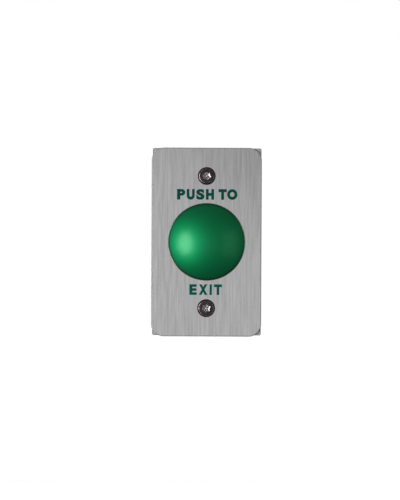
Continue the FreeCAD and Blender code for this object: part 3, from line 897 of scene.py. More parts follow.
@dataclass(frozen=True)
class PlateScrew:
    """A raised countersunk screw with a six-lobed security socket."""

    head_radius: float = 5.65 * MM
    head_rise: float = 1.0 * MM
    shoulder_radius: float = 4.75 * MM
    shoulder_rounding: float = 0.7 * MM
    crown_rise: float = 0.14 * MM
    crown_shares: tuple[float, ...] = (0.0, 0.2, 0.4, 0.6, 0.8)
    polish: float = 0.03 * MM
    neck_radius: float = 2.65 * MM
    thread_radius: float = 3.0 * MM
    thread_root: float = 2.45 * MM
    thread_pitch: float = 1.0 * MM
    length: float = 25.0 * MM
    tip_chamfer: float = 0.8 * MM
    socket_depth: float = 2.3 * MM
    socket_reach: float = 3.0 * MM
    highlight_inner: float = 4.45 * MM
    highlight_outer: float = 4.85 * MM
    socket_waist: float = 0.70
    lobe_rounding: float = 0.55 * MM
    lobes: int = 6
    lobe_segments: int = 4
    floor_dish: float = 0.62 * MM
    floor_share: float = 0.45
    socket_margin: float = 1.2
    pin_radius: float = 0.7 * MM
    pin_height: float = 1.9 * MM
    pin_steps: int = 32

    def dome(self, radius: float) -> float:
        """Height of the head above its rim at a radius, before its shoulder is rounded."""
        if radius < self.shoulder_radius:
            return self.head_rise - self.crown_rise * (radius / self.shoulder_radius) ** 2
        share = (self.head_radius - radius) / (self.head_radius - self.shoulder_radius)
        return (self.head_rise - self.crown_rise) * share

    def body(self, seat: float) -> Piece:
        """Turn the head, neck and threaded core, with the rim of the head at the depth of its seat."""
        crown = [self.shoulder_radius * share for share in self.crown_shares]
        neck = seat + self.head_radius - self.neck_radius
        tip = seat + self.length
        corners = [Corner(radius, seat - self.dome(radius)) for radius in crown]
        corners += [
            Corner(self.shoulder_radius, seat - self.dome(self.shoulder_radius), self.shoulder_rounding),
            Corner(self.head_radius, seat),
            Corner(self.neck_radius, neck),
            Corner(self.neck_radius, neck + self.tip_chamfer),
            Corner(self.thread_root, neck + 2 * self.tip_chamfer),
            Corner(self.thread_root, tip - self.tip_chamfer),
            Corner(self.thread_root - self.tip_chamfer, tip),
            Corner(0, tip),
        ]
        return turned("screw", corners)

    def socket(self, seat: float) -> Piece:
        """Shape the socket's space: six rounded lobes, a dished floor and a hole left for the pin."""
        top = seat - 2 * self.head_rise
        floor = seat + self.socket_depth
        clear_selection()
        bpy.ops.mesh.primitive_circle_add(
            vertices=2 * self.lobes, radius=self.socket_reach, fill_type="NOTHING",
        )
        tool = bpy.context.object
        choose(tool, MeshPart.VERTEX, lambda vertex: vertex.index % 2 == 0)
        bpy.ops.transform.resize(value=(self.socket_waist,) * 3, center_override=(0, 0, 0))
        select_mesh()
        bpy.ops.mesh.bevel(offset=self.lobe_rounding, segments=self.lobe_segments, affect="VERTICES")
        select_mesh()
        bpy.ops.mesh.edge_face_add()
        bpy.ops.transform.rotate(value=-math.pi / 2, orient_axis="X", center_override=(0, 0, 0))
        bpy.ops.transform.translate(value=(0, top, 0))
        extrude((0, floor - self.floor_dish - top, 0))
        extrude((0, self.floor_dish, 0))
        bpy.ops.transform.resize(value=(self.floor_share, 1, self.floor_share), center_override=(0, floor, 0))
        seal_seams()
        pin = turned("pin", [
            Corner(0, floor - self.pin_height),
            Corner(self.pin_radius, floor - self.pin_height, self.pin_radius / 2),
            Corner(self.pin_radius, floor + self.head_rise),
            Corner(0, floor + self.head_rise),
        ], steps=self.pin_steps)
        combine(tool, pin, Joinery.CUT)
        return tool

    def build(self, seat: float) -> Piece:
        """Cut the socket into the screw, wind its thread, and give the socket's walls painted glints and the
        shoulder a ring of painted highlight.

        Args:
            seat: Depth of the plate's front face.

        Returns:
            The screw on the button's axis.
        """
        screw = self.body(seat)
        combine(screw, self.socket(seat), Joinery.CUT)
        smoothed(screw)
        BLACK_SCREW.dress(screw)
        screw.data.materials.append(SOCKET_GLINT.material())
        screw.data.materials.append(SHOULDER_HIGHLIGHT.material())
        for face in screw.data.polygons:
            radius = math.hypot(face.center.x, face.center.z)
            is_on_head = face.center.y < seat - self.dome(radius) + self.polish
            # Painted glints: the socket's walls, floor and pin take the lighter metal
            if radius < self.socket_reach and face.center.y < seat + self.socket_margin * self.socket_depth:
                face.material_index = int(not is_on_head)
            # Painted highlight: a lighter ring round the shoulder
            elif self.highlight_inner < radius < self.highlight_outer and face.center.y < seat:
                face.material_index = 2
        start = seat + self.head_radius + self.tip_chamfer / 2
        end = seat + self.length - self.tip_chamfer / 2
        ridge = screw_ridge("ridge", self.thread_root, self.thread_radius, self.thread_pitch, start, end)
        BLACK_SCREW.dress(ridge)
        return joined("plate_screw", [screw, ridge])


@dataclass(frozen=True)
class Letter:
    """One printed letter: its sign and the x of its left and right edge."""

    sign: str
    left: float
    right: float
    boldness: float = 0.072


@dataclass(frozen=True)
class Line:
    """One line of the legend, with the z of its middle and its paint."""

    name: str
    middle: float
    paint: Finish
    letters: tuple[Letter, ...]


@dataclass(frozen=True)
class Legend:
    """Words printed on the plate in plain bold letters."""

    cap_height: float = 6.75 * MM
    thickness: float = 0.03 * MM
    lines: tuple[Line, ...] = (
        Line("legend_upper", 30.3 * MM, LEGEND_PAINT, (
            Letter("P", -18.8 * MM, -13.6 * MM, 0.058),
            Letter("U", -12.7 * MM, -7.6 * MM),
            Letter("S", -6.6 * MM, -1.4 * MM, 0.062),
            Letter("H", -0.5 * MM, 4.7 * MM),
            Letter("T", 7.5 * MM, 12.8 * MM),
            Letter("O", 13.0 * MM, 19.5 * MM),
        )),
        Line("legend_lower", -30.2 * MM, THIN_LEGEND_PAINT, (
            Letter("E", -10.7 * MM, -6.0 * MM, 0.052),
            Letter("X", -4.7 * MM, 0.8 * MM, 0.082),
            Letter("I", 2.1 * MM, 3.6 * MM),
            Letter("T", 4.9 * MM, 10.0 * MM, 0.062),
        )),
    )

    def printed(self, letter: Letter, middle: float, front: float) -> Piece:
        """Print one letter.

        Args:
            letter: The letter and its place across the plate.
            middle: The z of the line's middle.
            front: Depth of the plate's front face.

        Returns:
            The printed letter.
        """
        clear_selection()
        bpy.ops.object.text_add()
        text = bpy.context.object
        text.data.body = letter.sign
        text.data.offset = letter.boldness
        text.data.extrude = letter.boldness
        bpy.ops.object.convert(target="MESH")
        piece = bpy.context.object
        start_edit(piece)
        seal_seams()
        corners = [vertex.co for vertex in piece.data.vertices]
        low = Vector([min(corner[axis] for corner in corners) for axis in range(3)])
        high = Vector([max(corner[axis] for corner in corners) for axis in range(3)])
        size = high - low
        scale = Matrix.Diagonal((
            (letter.right - letter.left) / size.x, self.cap_height / size.y, self.thickness / size.z, 1.0,
        ))
        place = Matrix.Translation(((letter.left + letter.right) / 2, front - self.thickness / 2, middle))
        upright = rotation(90.0, "X")
        piece.data.transform(place @ upright @ scale @ Matrix.Translation(-(low + high) / 2))
        return piece

    def build(self, front: float) -> list[Piece]:
        """Print each line as one piece."""
        pieces = []
        for line in self.lines:
            letters = [self.printed(letter, line.middle, front) for letter in line.letters]
            pieces.append(settled(joined(line.name, letters), line.paint, Body.HOUSING))
        return pieces


@dataclass(frozen=True)
class FrontPlate:
    """Brushed plate, foam gasket, security screws and legend."""

    corner_radius: float = 8.0 * MM
    corner_segments: int = 14
    edge_rounding: float = 0.6 * MM
    edge_segments: int = 8
    rear_break: float = 0.15 * MM
    rear_segments: int = 2
    hole_radius: float = 11.25 * MM
    notch_half_width: float = 1.65 * MM
    notch_top: float = 12.05 * MM
    seat_radius: float = 5.70 * MM
    seat_taper: float = 2.0 * MM
    screw_spacing: float = 84.0 * MM
    gasket_rounding: float = 0.45 * MM
    gasket_segments: int = 3
    field_tilt: float = 0.996
    upper_turn: float = 14.0
    lower_turn: float = 41.0

    def faceplate(self) -> Piece:
        """Round the sheet's corners and front edge, and cut its three holes."""
        span = Span.of("faceplate")
        plate = block("faceplate_sheet", span.low, span.high)
        activate(plate)
        front_edge, rear_edge = span.front + MERGE, span.rear - MERGE
        self._bevel(plate, lambda a, b: abs(a.y - b.y) > MM, self.corner_radius, self.corner_segments)
        self._bevel(plate, lambda a, b: max(a.y, b.y) < front_edge, self.edge_rounding, self.edge_segments)
        self._bevel(plate, lambda a, b: min(a.y, b.y) > rear_edge, self.rear_break, self.rear_segments)
        over = MM
        front, rear = span.front - over, span.rear + over
        centre_hole = turned("hole", [
            Corner(0, front),
            Corner(self.hole_radius, front),
            Corner(self.hole_radius, rear),
            Corner(0, rear),
        ])
        combine(plate, centre_hole, Joinery.CUT)
        half_notch = self.notch_half_width
        notch = block("notch", (-half_notch, front, 0), (half_notch, rear, self.notch_top))
        combine(plate, notch, Joinery.CUT)
        slope = self.seat_taper / (span.rear - span.front)
        seat = turned("seat", [
            Corner(0, front),
            Corner(self.seat_radius + slope * over, front),
            Corner(self.seat_radius - slope * (rear - span.front), rear),
            Corner(0, rear),
        ])
        for place in self.screw_places():
            combine(plate, placed_copy(seat, place), Joinery.CUT)
        bpy.data.objects.remove(seat)
        smoothed(plate)
        apply_modifier(plate, "WEIGHTED_NORMAL", keep_sharp=True)
        # The flat front keeps the brushed finish; every other face gets the darker edge finish with painted
        # shade
        edge_dressed(plate, BRUSHED_STAINLESS, SHADED_EDGE_STAINLESS, lambda _, normal: normal.y < -self.field_tilt)
        return settled(plate, BRUSHED_STAINLESS, Body.HOUSING, "faceplate", dressed=True)

    def gasket(self) -> Piece:
        """Round the gasket's edges and paint shade on its rounded edges and sides."""
        gasket = cleaned_copy("plate_gasket_edge_shaded", "plate_gasket")
        edges_broken(gasket, self.gasket_rounding, self.gasket_segments)
        # The front and rear faces keep the foam's grey; the edges and sides get painted shade
        edge_dressed(gasket, LIGHT_GREY_FOAM, SHADED_EDGE_FOAM, lambda _, normal: abs(normal.y) > self.field_tilt)
        return settled(gasket, LIGHT_GREY_FOAM, Body.HOUSING, "plate_gasket", dressed=True)

    def _bevel(self, plate: Piece, chosen: VectorTest, width: float, segments: int) -> None:
        """Bevel the plate's edges whose two ends pass a test."""
        places = plate.data.vertices
        choose(plate, MeshPart.EDGE, lambda edge: chosen(*(places[index].co for index in edge.vertices)))
        bpy.ops.mesh.bevel(offset=width, segments=segments, affect="EDGES")
        leave_edit()

    def screw_places(self) -> list[Matrix]:
        """Places of the two screws, each turned as its thread ran out."""
        places = []
        for side, turn in ((1, self.upper_turn), (-1, self.lower_turn)):
            place = Matrix.Translation((0, 0, side * self.screw_spacing / 2))
            places.append(place @ rotation(turn, "Y"))
        return places

    def screws(self) -> Piece:
        """Set a screw at each place."""
        pattern = PlateScrew().build(Span.of("faceplate").front)
        pair = repeated("plate_screw_pair", pattern, self.screw_places())
        return settled(pair, BLACK_SCREW, Body.HOUSING, "plate_screws", dressed=True)

    def build(self) -> list[Piece]:
        """Build the plate and all that is fixed to its front and rear."""
        front = Span.of("faceplate").front
        return [self.faceplate(), self.gasket(), self.screws(), *Legend().build(front)]


@dataclass(frozen=True)
class Operator:
    """Bezel with its threaded barrel, the rings that clamp it and what it holds inside."""

    barrel_radius: float = 11.0 * MM
    thread_root: float = 10.42 * MM
    thread_pitch: float = 1.0 * MM
    bore: float = 7.08 * MM
    flange_chamfer: float = 0.8 * MM
    flange_thickness: float = 3.0 * MM
    groove_radius: float = 8.73 * MM
    groove_front: float = -5.3 * MM
    groove_rear: float = -3.5 * MM
    chamber_radius: float = 9.0 * MM
    chamber_front: float = -1.0 * MM
    snap_radius: float = 9.8 * MM
    snap_front: float = 14.5 * MM
    snap_rear: float = 15.55 * MM
    key_half_width: float = 1.5 * MM
    key_foot: float = 10.0 * MM
    key_reach: float = 11.9 * MM
    seal_inner: float = 12.4 * MM
    nut_bore: float = 11.05 * MM
    nut_sides: int = 6
    nut_chamfer: float = 0.6 * MM
    nut_chamfer_slope: float = 0.577
    nut_rounding: float = 0.08 * MM
    nut_sharp_angle: float = 25.0
    cone_overreach: float = 1.01
    cone_overrise: float = 1.1
    bore_chamfer: float = 0.5 * MM
    bore_rounding: float = 0.4 * MM
    flange_rounding: float = 0.3 * MM
    seal_rounding: float = 0.3 * MM
    washer_rounding: float = 0.2 * MM
    turned_steps: int = 128
    edge_break: float = 0.15 * MM
    coil: Coil = Coil(radius=6.4 * MM, wire=0.5 * MM, turns=5.0, keep=0.6)

    def bezel(self) -> Piece:
        """Turn the flange and barrel, add the key and wind the barrel's thread."""
        span = Span.of("operator_bezel")
        plate_rear = Span.of("faceplate").rear
        flange = span.radius
        flange_rear = span.front + self.flange_thickness
        relief = self.barrel_radius - self.thread_root
        body = turned("bezel", [
            Corner(self.bore, span.front, self.bore_rounding),
            Corner(flange - self.flange_chamfer, span.front, self.flange_rounding),
            Corner(flange, span.front + self.flange_chamfer, self.flange_rounding),
            Corner(flange, flange_rear, self.edge_break),
            Corner(self.barrel_radius, flange_rear),
            Corner(self.barrel_radius, plate_rear),
            Corner(self.thread_root, plate_rear + relief),
            Corner(self.thread_root, span.rear - relief),
            Corner(self.thread_root - relief, span.rear),
            Corner(self.chamber_radius, span.rear),
            Corner(self.chamber_radius, self.snap_rear),
            Corner(self.snap_radius, self.snap_rear),
            Corner(self.snap_radius, self.snap_front),
            Corner(self.chamber_radius, self.snap_front),
            Corner(self.chamber_radius, self.chamber_front),
            Corner(self.bore, self.chamber_front),
            Corner(self.bore, self.groove_rear),
            Corner(self.groove_radius, self.groove_rear),
            Corner(self.groove_radius, self.groove_front),
            Corner(self.bore, self.groove_front),
        ], closed=True, steps=self.turned_steps)
        half_key = self.key_half_width
        key = block("key", (-half_key, flange_rear, self.key_foot), (half_key, plate_rear, self.key_reach))
        combine(body, key, Joinery.FUSE)
        smoothed(body)
        start = plate_rear + relief / 2
        ridge = screw_ridge(
            "ridge", self.thread_root, self.barrel_radius, self.thread_pitch, start, span.rear,
        )
        bezel = joined("operator_bezel_turned", [body, ridge])
        return settled(bezel, CHROMED_BRASS, Body.HOUSING, "operator_bezel")

    def ring(self, node: str, inner: float, rounding: float, finish: Finish) -> Piece:
        """Turn a plain ring with rounded edges in a solid's room."""
        span = Span.of(node)
        ring = turned(f"{node}_turned", [
            Corner(inner, span.front, rounding),
            Corner(span.radius, span.front, rounding),
            Corner(span.radius, span.rear, rounding),
            Corner(inner, span.rear, rounding),
        ], closed=True)
        return settled(ring, finish, Body.HOUSING, node)

    def nut(self) -> Piece:
        """Chamfer a hexagon's corners between two cones and bore it."""
        span = Span.of("lock_nut")
        corner = span.high.z
        clear_selection()
        bpy.ops.mesh.primitive_cylinder_add(
            vertices=self.nut_sides, radius=corner, depth=span.rear - span.front,
            rotation=(math.pi / 2, 0, 0),
        )
        nut = bpy.context.object
        nut.location = (0, span.middle.y, 0)
        bpy.ops.object.transform_apply(location=True, rotation=True, scale=True)
        narrow = corner - self.nut_chamfer
        reach = corner * self.cone_overreach
        rise = self.nut_chamfer * self.nut_chamfer_slope * self.cone_overrise
        cones = turned("cones", [
            Corner(0, span.front),
            Corner(narrow, span.front),
            Corner(reach, span.front + rise),
            Corner(reach, span.rear - rise),
            Corner(narrow, span.rear),
            Corner(0, span.rear),
        ], steps=self.turned_steps)
        combine(nut, cones, Joinery.KEEP_COMMON)
        wide = self.nut_bore + self.bore_chamfer
        bore = turned("bore", [
            Corner(0, span.front - MM),
            Corner(wide + MM, span.front - MM),
            Corner(self.nut_bore, span.front + self.bore_chamfer),
            Corner(self.nut_bore, span.rear - self.bore_chamfer),
            Corner(wide + MM, span.rear + MM),
            Corner(0, span.rear + MM),
        ])
        combine(nut, bore, Joinery.CUT)
        labelled(nut, "lock_nut_machined")
        edges_broken(nut, self.nut_rounding, angle=self.nut_sharp_angle)
        return settled(nut, ZINC_PLATED_STEEL, Body.HOUSING, "lock_nut")

    def build(self) -> list[Piece]:
        """Build the bezel, its clamping rings and its inner pieces."""
        return [
            self.bezel(),
            self.ring("bezel_seal", self.seal_inner, self.seal_rounding, BLACK_RUBBER),
            self.ring("lock_washer", self.nut_bore, self.washer_rounding, ZINC_PLATED_STEEL),
            self.nut(),
            self.coil.build("return_spring"),
            refined("stem_seal", BLACK_RUBBER, Body.HOUSING, self.edge_break),
            refined("spring_retainer", ZINC_PLATED_STEEL, Body.HOUSING, self.edge_break),
            refined("retaining_ring", SPRING_STEEL, Body.HOUSING, self.edge_break / 2),
        ]


@dataclass(frozen=True)
class PushButton:
    """Mushroom head on its stem, with the pusher plate behind."""

    side_height: float = 7.0 * MM
    edge_rounding: float = 3.0 * MM
    rim_rounding: float = 1.0 * MM
    recess_radius: float = 16.5 * MM
    recess_depth: float = 2.0 * MM
    hole_radius: float = 5.05 * MM
    hole_depth: float = 9.0 * MM
    spigot_radius: float = 5.0 * MM
    screw_break: float = 0.0625 * MM
    guide_radius: float = 7.0 * MM
    shoulder_radius: float = 8.6 * MM
    shoulder_front: float = -1.0 * MM
    shoulder_rear: float = 2.0 * MM
    rod_radius: float = 4.0 * MM
    tapped_radius: float = 1.55 * MM
    tapped_depth: float = 7.0 * MM
    edge_break: float = 0.25 * MM
    dome_steps: int = 40
    fillet_steps: int = 14
    rim_steps: int = 6
    turned_steps: int = 160

    def crown(self, span: Span) -> Trace:
        """Trace the dome and the rounding that runs into the head's side.

        Args:
            span: The room that the head takes up.

        Returns:
            The points from the middle of the dome to the side.
        """
        rise = span.rear - self.side_height - span.front
        ball = (span.radius**2 + rise**2) / (2 * rise)
        ball_centre = span.front + ball
        inner = span.radius - self.edge_rounding
        swing = math.asin(inner / (ball - self.edge_rounding))
        fillet_centre = ball_centre - (ball - self.edge_rounding) * math.cos(swing)
        trace: Trace = []
        for step in range(self.dome_steps + 1):
            angle = swing * step / self.dome_steps
            trace.append((ball * math.sin(angle), ball_centre - ball * math.cos(angle)))
        for step in range(1, self.fillet_steps + 1):
            angle = swing + (math.pi / 2 - swing) * step / self.fillet_steps
            radius = inner + self.edge_rounding * math.sin(angle)
            trace.append((radius, fillet_centre - self.edge_rounding * math.cos(angle)))
        return trace

    def head(self) -> Piece:
        """Turn the head: crown, rim, rear recess and spigot hole."""
        span = Span.of("mushroom_head")
        recess_floor = span.rear - self.recess_depth
        rear = traced([
            Corner(span.radius, span.rear - self.side_height / 2),
            Corner(span.radius, span.rear, self.rim_rounding),
            Corner(self.recess_radius, span.rear, self.edge_break),
            Corner(self.recess_radius, recess_floor, self.edge_break),
            Corner(self.hole_radius, recess_floor),
            Corner(self.hole_radius, recess_floor - self.hole_depth),
            Corner(0, recess_floor - self.hole_depth),
        ], closed=False, steps=self.rim_steps)
        head = turned("mushroom_head_turned", self.crown(span) + rear, steps=self.turned_steps)
        return settled(head, GREEN_ANODISED, Body.BUTTON, "mushroom_head")

    def stem(self) -> Piece:
        """Turn the stem from its spigot to the tapped rear end."""
        span = Span.of("stem")
        recess_floor = Span.of("mushroom_head").rear - self.recess_depth
        stem = turned("stem_turned", [
            Corner(0, span.front),
            Corner(self.spigot_radius, span.front, self.edge_break),
            Corner(self.spigot_radius, recess_floor),
            Corner(self.guide_radius, recess_floor, self.edge_break),
            Corner(self.guide_radius, self.shoulder_front),
            Corner(self.shoulder_radius, self.shoulder_front, self.edge_break),
            Corner(self.shoulder_radius, self.shoulder_rear, self.edge_break),
            Corner(self.rod_radius, self.shoulder_rear),
            Corner(self.rod_radius, span.rear, self.edge_break),
            Corner(self.tapped_radius, span.rear),
            Corner(self.tapped_radius, span.rear - self.tapped_depth),
            Corner(0, span.rear - self.tapped_depth),
        ])
        return settled(stem, TURNED_ALUMINIUM, Body.BUTTON, "stem")

    def build(self) -> list[Piece]:
        """Build the head and stem, and dress the pusher plate and its screw."""
        return [
            self.head(),
            self.stem(),
            refined("pusher_plate", WHITE_NYLON, Body.BUTTON, self.edge_break),
            refined("pusher_screw", ZINC_PLATED_STEEL, Body.BUTTON, self.screw_break),
        ]


@dataclass(frozen=True)
class Carrier:
    """Moulded carrier of the contact blocks, with the screw that locks it."""

    rounding: float = 0.25 * MM
    lug_reach: float = 17.0 * MM
    slot_turn: float = 24.0
    slotted: SlottedScrew = SlottedScrew(
        head=2.75 * MM, head_height=2.0 * MM, shank=1.5 * MM, slot_width=0.8 * MM, slot_depth=0.8 * MM,
    )

    def screw(self) -> Piece:
        """Turn the locking screw and lay it along X."""
        span = Span.of("carrier_screw")
        pattern = self.slotted.build("carrier_screw_cut", self.lug_reach - span.low.x)
        spun = rotation(self.slot_turn, "X") @ rotation(-90.0, "Z")
        place = Matrix.Translation((self.lug_reach, span.middle.y, span.middle.z))
        screw = repeated("carrier_screw_cut", pattern, [place @ spun])
        return settled(screw, ZINC_PLATED_STEEL, Body.HOUSING, "carrier_screw")

    def build(self) -> list[Piece]:
        """Build the carrier and its screw."""
        return [refined("contact_carrier", BLACK_NYLON, Body.HOUSING, self.rounding), self.screw()]


class Contact(Enum):
    """Kinds of contact block, by the start of their pieces' names."""

    NORMALLY_OPEN = "no"
    NORMALLY_CLOSED = "nc"


@dataclass(frozen=True)
class ContactBlock:
    """One contact block: case, cover, plunger, bridge, fixed contacts and spring."""

    kind: Contact
    plunger_body: Body
    plunger_finish: Finish
    case_rounding: float = 0.3 * MM
    metal_rounding: float = 0.1 * MM
    plunger_rounding: float = 0.2 * MM
    panel_half: float = 18.5 * MM
    panel_front: float = 1.6 * MM
    panel_rear: float = 6.6 * MM
    panel_depth: float = 0.3 * MM
    coil: Coil = Coil(radius=2.0 * MM, wire=0.25 * MM, turns=6.0, keep=0.487)

    def named(self, piece: str) -> str:
        """Name of a piece of this block."""
        return f"{self.kind.value}_{piece}"

    def cover(self) -> Piece:
        """Sink a panel into the cover's outer face and round its edges."""
        node = self.named("cover")
        span = Span.of(node)
        cover = cleaned_copy(f"{node}_refined", node)
        low, high = span.high.x - self.panel_depth, span.high.x + MM
        if span.middle.x < 0:
            low, high = span.low.x - MM, span.low.x + self.panel_depth
        front, rear = span.front + self.panel_front, span.rear - self.panel_rear
        panel = block("panel", (low, front, -self.panel_half), (high, rear, self.panel_half))
        combine(cover, panel, Joinery.CUT)
        return settled(edges_broken(cover, self.case_rounding / 2), DARK_GREY_CASE, Body.HOUSING, node)

    def spring(self) -> Piece:
        """Wind the block's spring on its own axis."""
        node = self.named("spring")
        return self.coil.build(node, Span.of(node).middle.x)

    def build(self) -> list[Piece]:
        """Build the block's pieces."""
        return [
            refined(self.named("case"), DARK_GREY_CASE, Body.HOUSING, self.case_rounding),
            self.cover(),
            refined(self.named("plunger"), self.plunger_finish, self.plunger_body, self.plunger_rounding),
            refined(self.named("bridge"), CONTACT_BRASS, self.plunger_body, self.metal_rounding),
            refined(self.named("contacts"), CONTACT_BRASS, Body.HOUSING, self.metal_rounding),
            self.spring(),
        ]


@dataclass(frozen=True)
class Terminals:
    """The four terminal screws and their clamp plates."""

    length: float = 6.0 * MM
    clamp_rounding: float = 0.12 * MM
    place_x: float = 5.5 * MM
    place_z: float = 15.5 * MM
    slot_turns: tuple[float, float, float, float] = (12.0, -38.0, 71.0, 27.0)
    slotted: SlottedScrew = SlottedScrew(
        head=3.1 * MM, head_height=2.4 * MM, shank=1.75 * MM, slot_width=0.9 * MM, slot_depth=1.2 * MM,
    )

    def screws(self) -> Piece:
        """Turn one terminal screw and set a copy in each terminal."""
        seat = Span.of("terminal_screws").rear - self.slotted.head_height
        pattern = self.slotted.build("terminal_screws_cut", self.length)
        corners = [(x, z) for x in (-self.place_x, self.place_x) for z in (-self.place_z, self.place_z)]
        places = [
            Matrix.Translation((x, seat, z)) @ rotation(turn, "Y")
            for (x, z), turn in zip(corners, self.slot_turns)
        ]
        screws = repeated("terminal_screws_cut", pattern, places)
        return settled(screws, ZINC_PLATED_STEEL, Body.HOUSING, "terminal_screws")

    def build(self) -> list[Piece]:
        """Build the screws and clamps."""
        clamps = refined("terminal_clamps", ZINC_PLATED_STEEL, Body.HOUSING, self.clamp_rounding)
        return [self.screws(), clamps]


class Diffuser(Enum):
    """Shapes of a lamp's face."""

    OVAL = "ELLIPSE"
    OBLONG = "RECTANGLE"

    def area(self, width: float, height: float) -> float:
        """Area of a face of this shape."""
        return width * height * (math.pi / 4 if self is Diffuser.OVAL else 1.0)


@dataclass(frozen=True)
class Softbox:
    """A soft lamp that faces the button."""

    name: str
    place: Triple
    size: tuple[float, float]
    radiance: float
    diffuser: Diffuser = Diffuser.OBLONG
    on_matt: bool = True
    on_gloss: bool = True

    def build(self) -> None:
        """Hang the lamp and turn it to the button."""
        light = bpy.data.lights.new(self.name, "AREA")
        light.shape = self.diffuser.value
        light.size, light.size_y = self.size
        light.energy = self.radiance * math.pi * self.diffuser.area(*self.size)
        lamp = bpy.data.objects.new(self.name, light)
        bpy.context.scene.collection.objects.link(lamp)
        lamp.location = self.place
        lamp.rotation_euler = (-Vector(self.place)).to_track_quat("-Z", "Y").to_euler()
        lamp.visible_camera = False
        lamp.visible_diffuse = self.on_matt
        lamp.visible_glossy = self.on_gloss


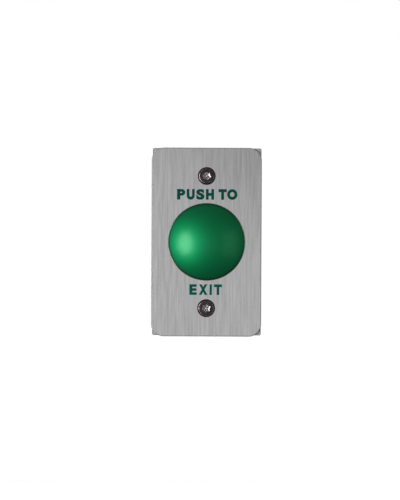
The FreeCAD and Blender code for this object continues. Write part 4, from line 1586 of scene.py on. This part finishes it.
@dataclass(frozen=True)
class Studio:
    """White surroundings, soft lamps, a pale floor and the camera."""

    camera_place: Triple = (-4.07 * MM, -500.0 * MM, -5.05 * MM)
    frame_height: float = 317.65 * MM
    plate_distance: float = 496.0 * MM
    sensor_height: float = 24.0
    roll: float = 0.28
    card_direction: Triple = (0.02, -1.0, -0.05)
    card_spread: float = math.radians(30.0)
    card_level: float = 0.345
    shade_direction: Triple = (0.14, -1.0, 0.19)
    shade_spread: float = math.radians(11.5)
    shade_level: float = 0.17
    side_levels: tuple[float, float] = (0.16, 0.26)
    side_range: tuple[float, float] = (-0.9, 0.9)
    rim_shade: float = 0.08
    rim_range: tuple[float, float] = (-0.6, 0.0)
    rear_level: float = 0.30
    rear_range: tuple[float, float] = (0.2, 0.9)
    floor_height: float = -0.42
    floor_half: float = 0.9
    floor_glow: float = 0.5
    floor_roughness: float = 0.8
    floor_colour: tuple[float, ...] = (0.86, 0.86, 0.86, 1.0)
    lamps: tuple[Softbox, ...] = (
        Softbox("key_lamp", (-0.61, -0.657, -0.045), (0.48, 0.66), 9.5, Diffuser.OVAL, on_matt=False),
        Softbox("front_lamp", (-0.85, -1.05, -0.1), (0.7, 0.7), 5.4, on_gloss=False),
        Softbox("fill_lamp", (0.65, -0.56, -0.04), (0.50, 0.70), 0.62),
        Softbox("top_lamp", (0.5, 0.35, 1.0), (0.9, 0.9), 2.4, on_gloss=False),
        Softbox("rear_lamp_left", (-0.75, 0.75, 0.45), (0.6, 0.6), 2.2),
        Softbox("rear_lamp_right", (0.8, 0.7, 0.2), (0.4, 0.7), 2.2),
    )

    def patch(
        self, sheet: NodeSheet, direction: Socket, centre: Triple, spread: float, level: float,
    ) -> Socket:
        """Draw a round patch of light that fades towards its rim.

        Args:
            sheet: The world's node tree.
            direction: The direction that is looked in.
            centre: The direction of the patch's centre.
            spread: The angle from its centre to its rim.
            level: How much light its centre adds.

        Returns:
            The light that the patch adds in each direction.
        """
        inputs = {0: direction, 1: Vector(centre).normalized()}
        nearness = sheet.add("VectorMath", inputs, operation="DOT_PRODUCT").outputs["Value"]
        return sheet.stretch(nearness, math.cos(spread), 1.0, (0.0, level))

    def surroundings(self) -> None:
        """White to the camera, and softly graded greys to the object."""
        world = bpy.data.worlds.new("surroundings")
        bpy.context.scene.world = world
        world.use_nodes = True
        sheet = NodeSheet(world.node_tree)
        direction = sheet.add("TexCoord").outputs["Generated"]
        parts = sheet.add("SeparateXYZ", {0: direction}).outputs
        card = self.patch(sheet, direction, self.card_direction, self.card_spread, self.card_level)
        shade = self.patch(sheet, direction, self.shade_direction, self.shade_spread, -self.shade_level)
        sides = sheet.stretch(parts[2], *self.side_range, self.side_levels)
        rear = sheet.stretch(parts[1], *self.rear_range, (0.0, self.rear_level))
        rim = sheet.stretch(parts[1], *self.rim_range, (0.0, -self.rim_shade))
        front = sheet.sum("ADD", card, shade)
        level = sheet.sum("ADD", front, sheet.sum("ADD", sheet.sum("ADD", sides, rim), rear))
        grey, white = (
            sheet.add("Background", {"Color": WHITE, "Strength": strength}).outputs[0]
            for strength in (level, 1.0)
        )
        seen = sheet.add("LightPath").outputs["Is Camera Ray"]
        both = sheet.add("MixShader", {0: seen, 1: grey, 2: white}).outputs[0]
        sheet.add("OutputWorld", {"Surface": both})

    def floor(self) -> None:
        """Lay a pale floor well below the plate."""
        clear_selection()
        bpy.ops.mesh.primitive_plane_add(size=2 * self.floor_half, location=(0, 0, self.floor_height))
        floor = bpy.context.object
        floor.name = "floor"
        floor.visible_glossy = False
        floor.visible_diffuse = False
        material = bpy.data.materials.new("pale_floor")
        material.use_nodes = True
        shader = material.node_tree.nodes["Principled BSDF"]
        for name, value in (
            ("Base Color", self.floor_colour),
            ("Roughness", self.floor_roughness),
            ("Emission Color", WHITE),
            ("Emission Strength", self.floor_glow),
        ):
            shader.inputs[name].default_value = value
        floor.data.materials.append(material)

    def camera(self) -> None:
        """Stand the camera where the photograph's was, rolled as it was."""
        data = bpy.data.cameras.new("camera")
        data.sensor_fit = "VERTICAL"
        data.sensor_height = self.sensor_height
        data.sensor_width = self.sensor_height
        data.lens = self.sensor_height * self.plate_distance / self.frame_height
        camera = bpy.data.objects.new("camera", data)
        bpy.context.scene.collection.objects.link(camera)
        aimed = rotation(-self.roll, "Y") @ rotation(90.0, "X")
        camera.matrix_world = Matrix.Translation(self.camera_place) @ aimed
        bpy.context.scene.camera = camera

    def build(self) -> None:
        """Set up the whole studio."""
        settings = bpy.context.scene.view_settings
        settings.view_transform = "Standard"
        settings.look = "None"
        self.surroundings()
        for lamp in self.lamps:
            lamp.build()
        self.floor()
        self.camera()


def main() -> None:
    """Load the solids, build every sub-assembly over them and light the scene."""
    logging.basicConfig(level=logging.INFO, format="%(name)s: %(message)s")
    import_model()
    assemblies = (
        FrontPlate(),
        Operator(),
        PushButton(),
        Carrier(),
        ContactBlock(Contact.NORMALLY_OPEN, Body.NO_PLUNGER, GREEN_PLUNGER),
        ContactBlock(Contact.NORMALLY_CLOSED, Body.NC_PLUNGER, RED_PLUNGER),
        Terminals(),
    )
    for assembly in assemblies:
        for piece in assembly.build():
            LOG.info("%s: %s with %d faces", type(assembly).__name__, piece.name, len(piece.data.polygons))
    Studio().build()


if __name__ == "__main__":
    main()
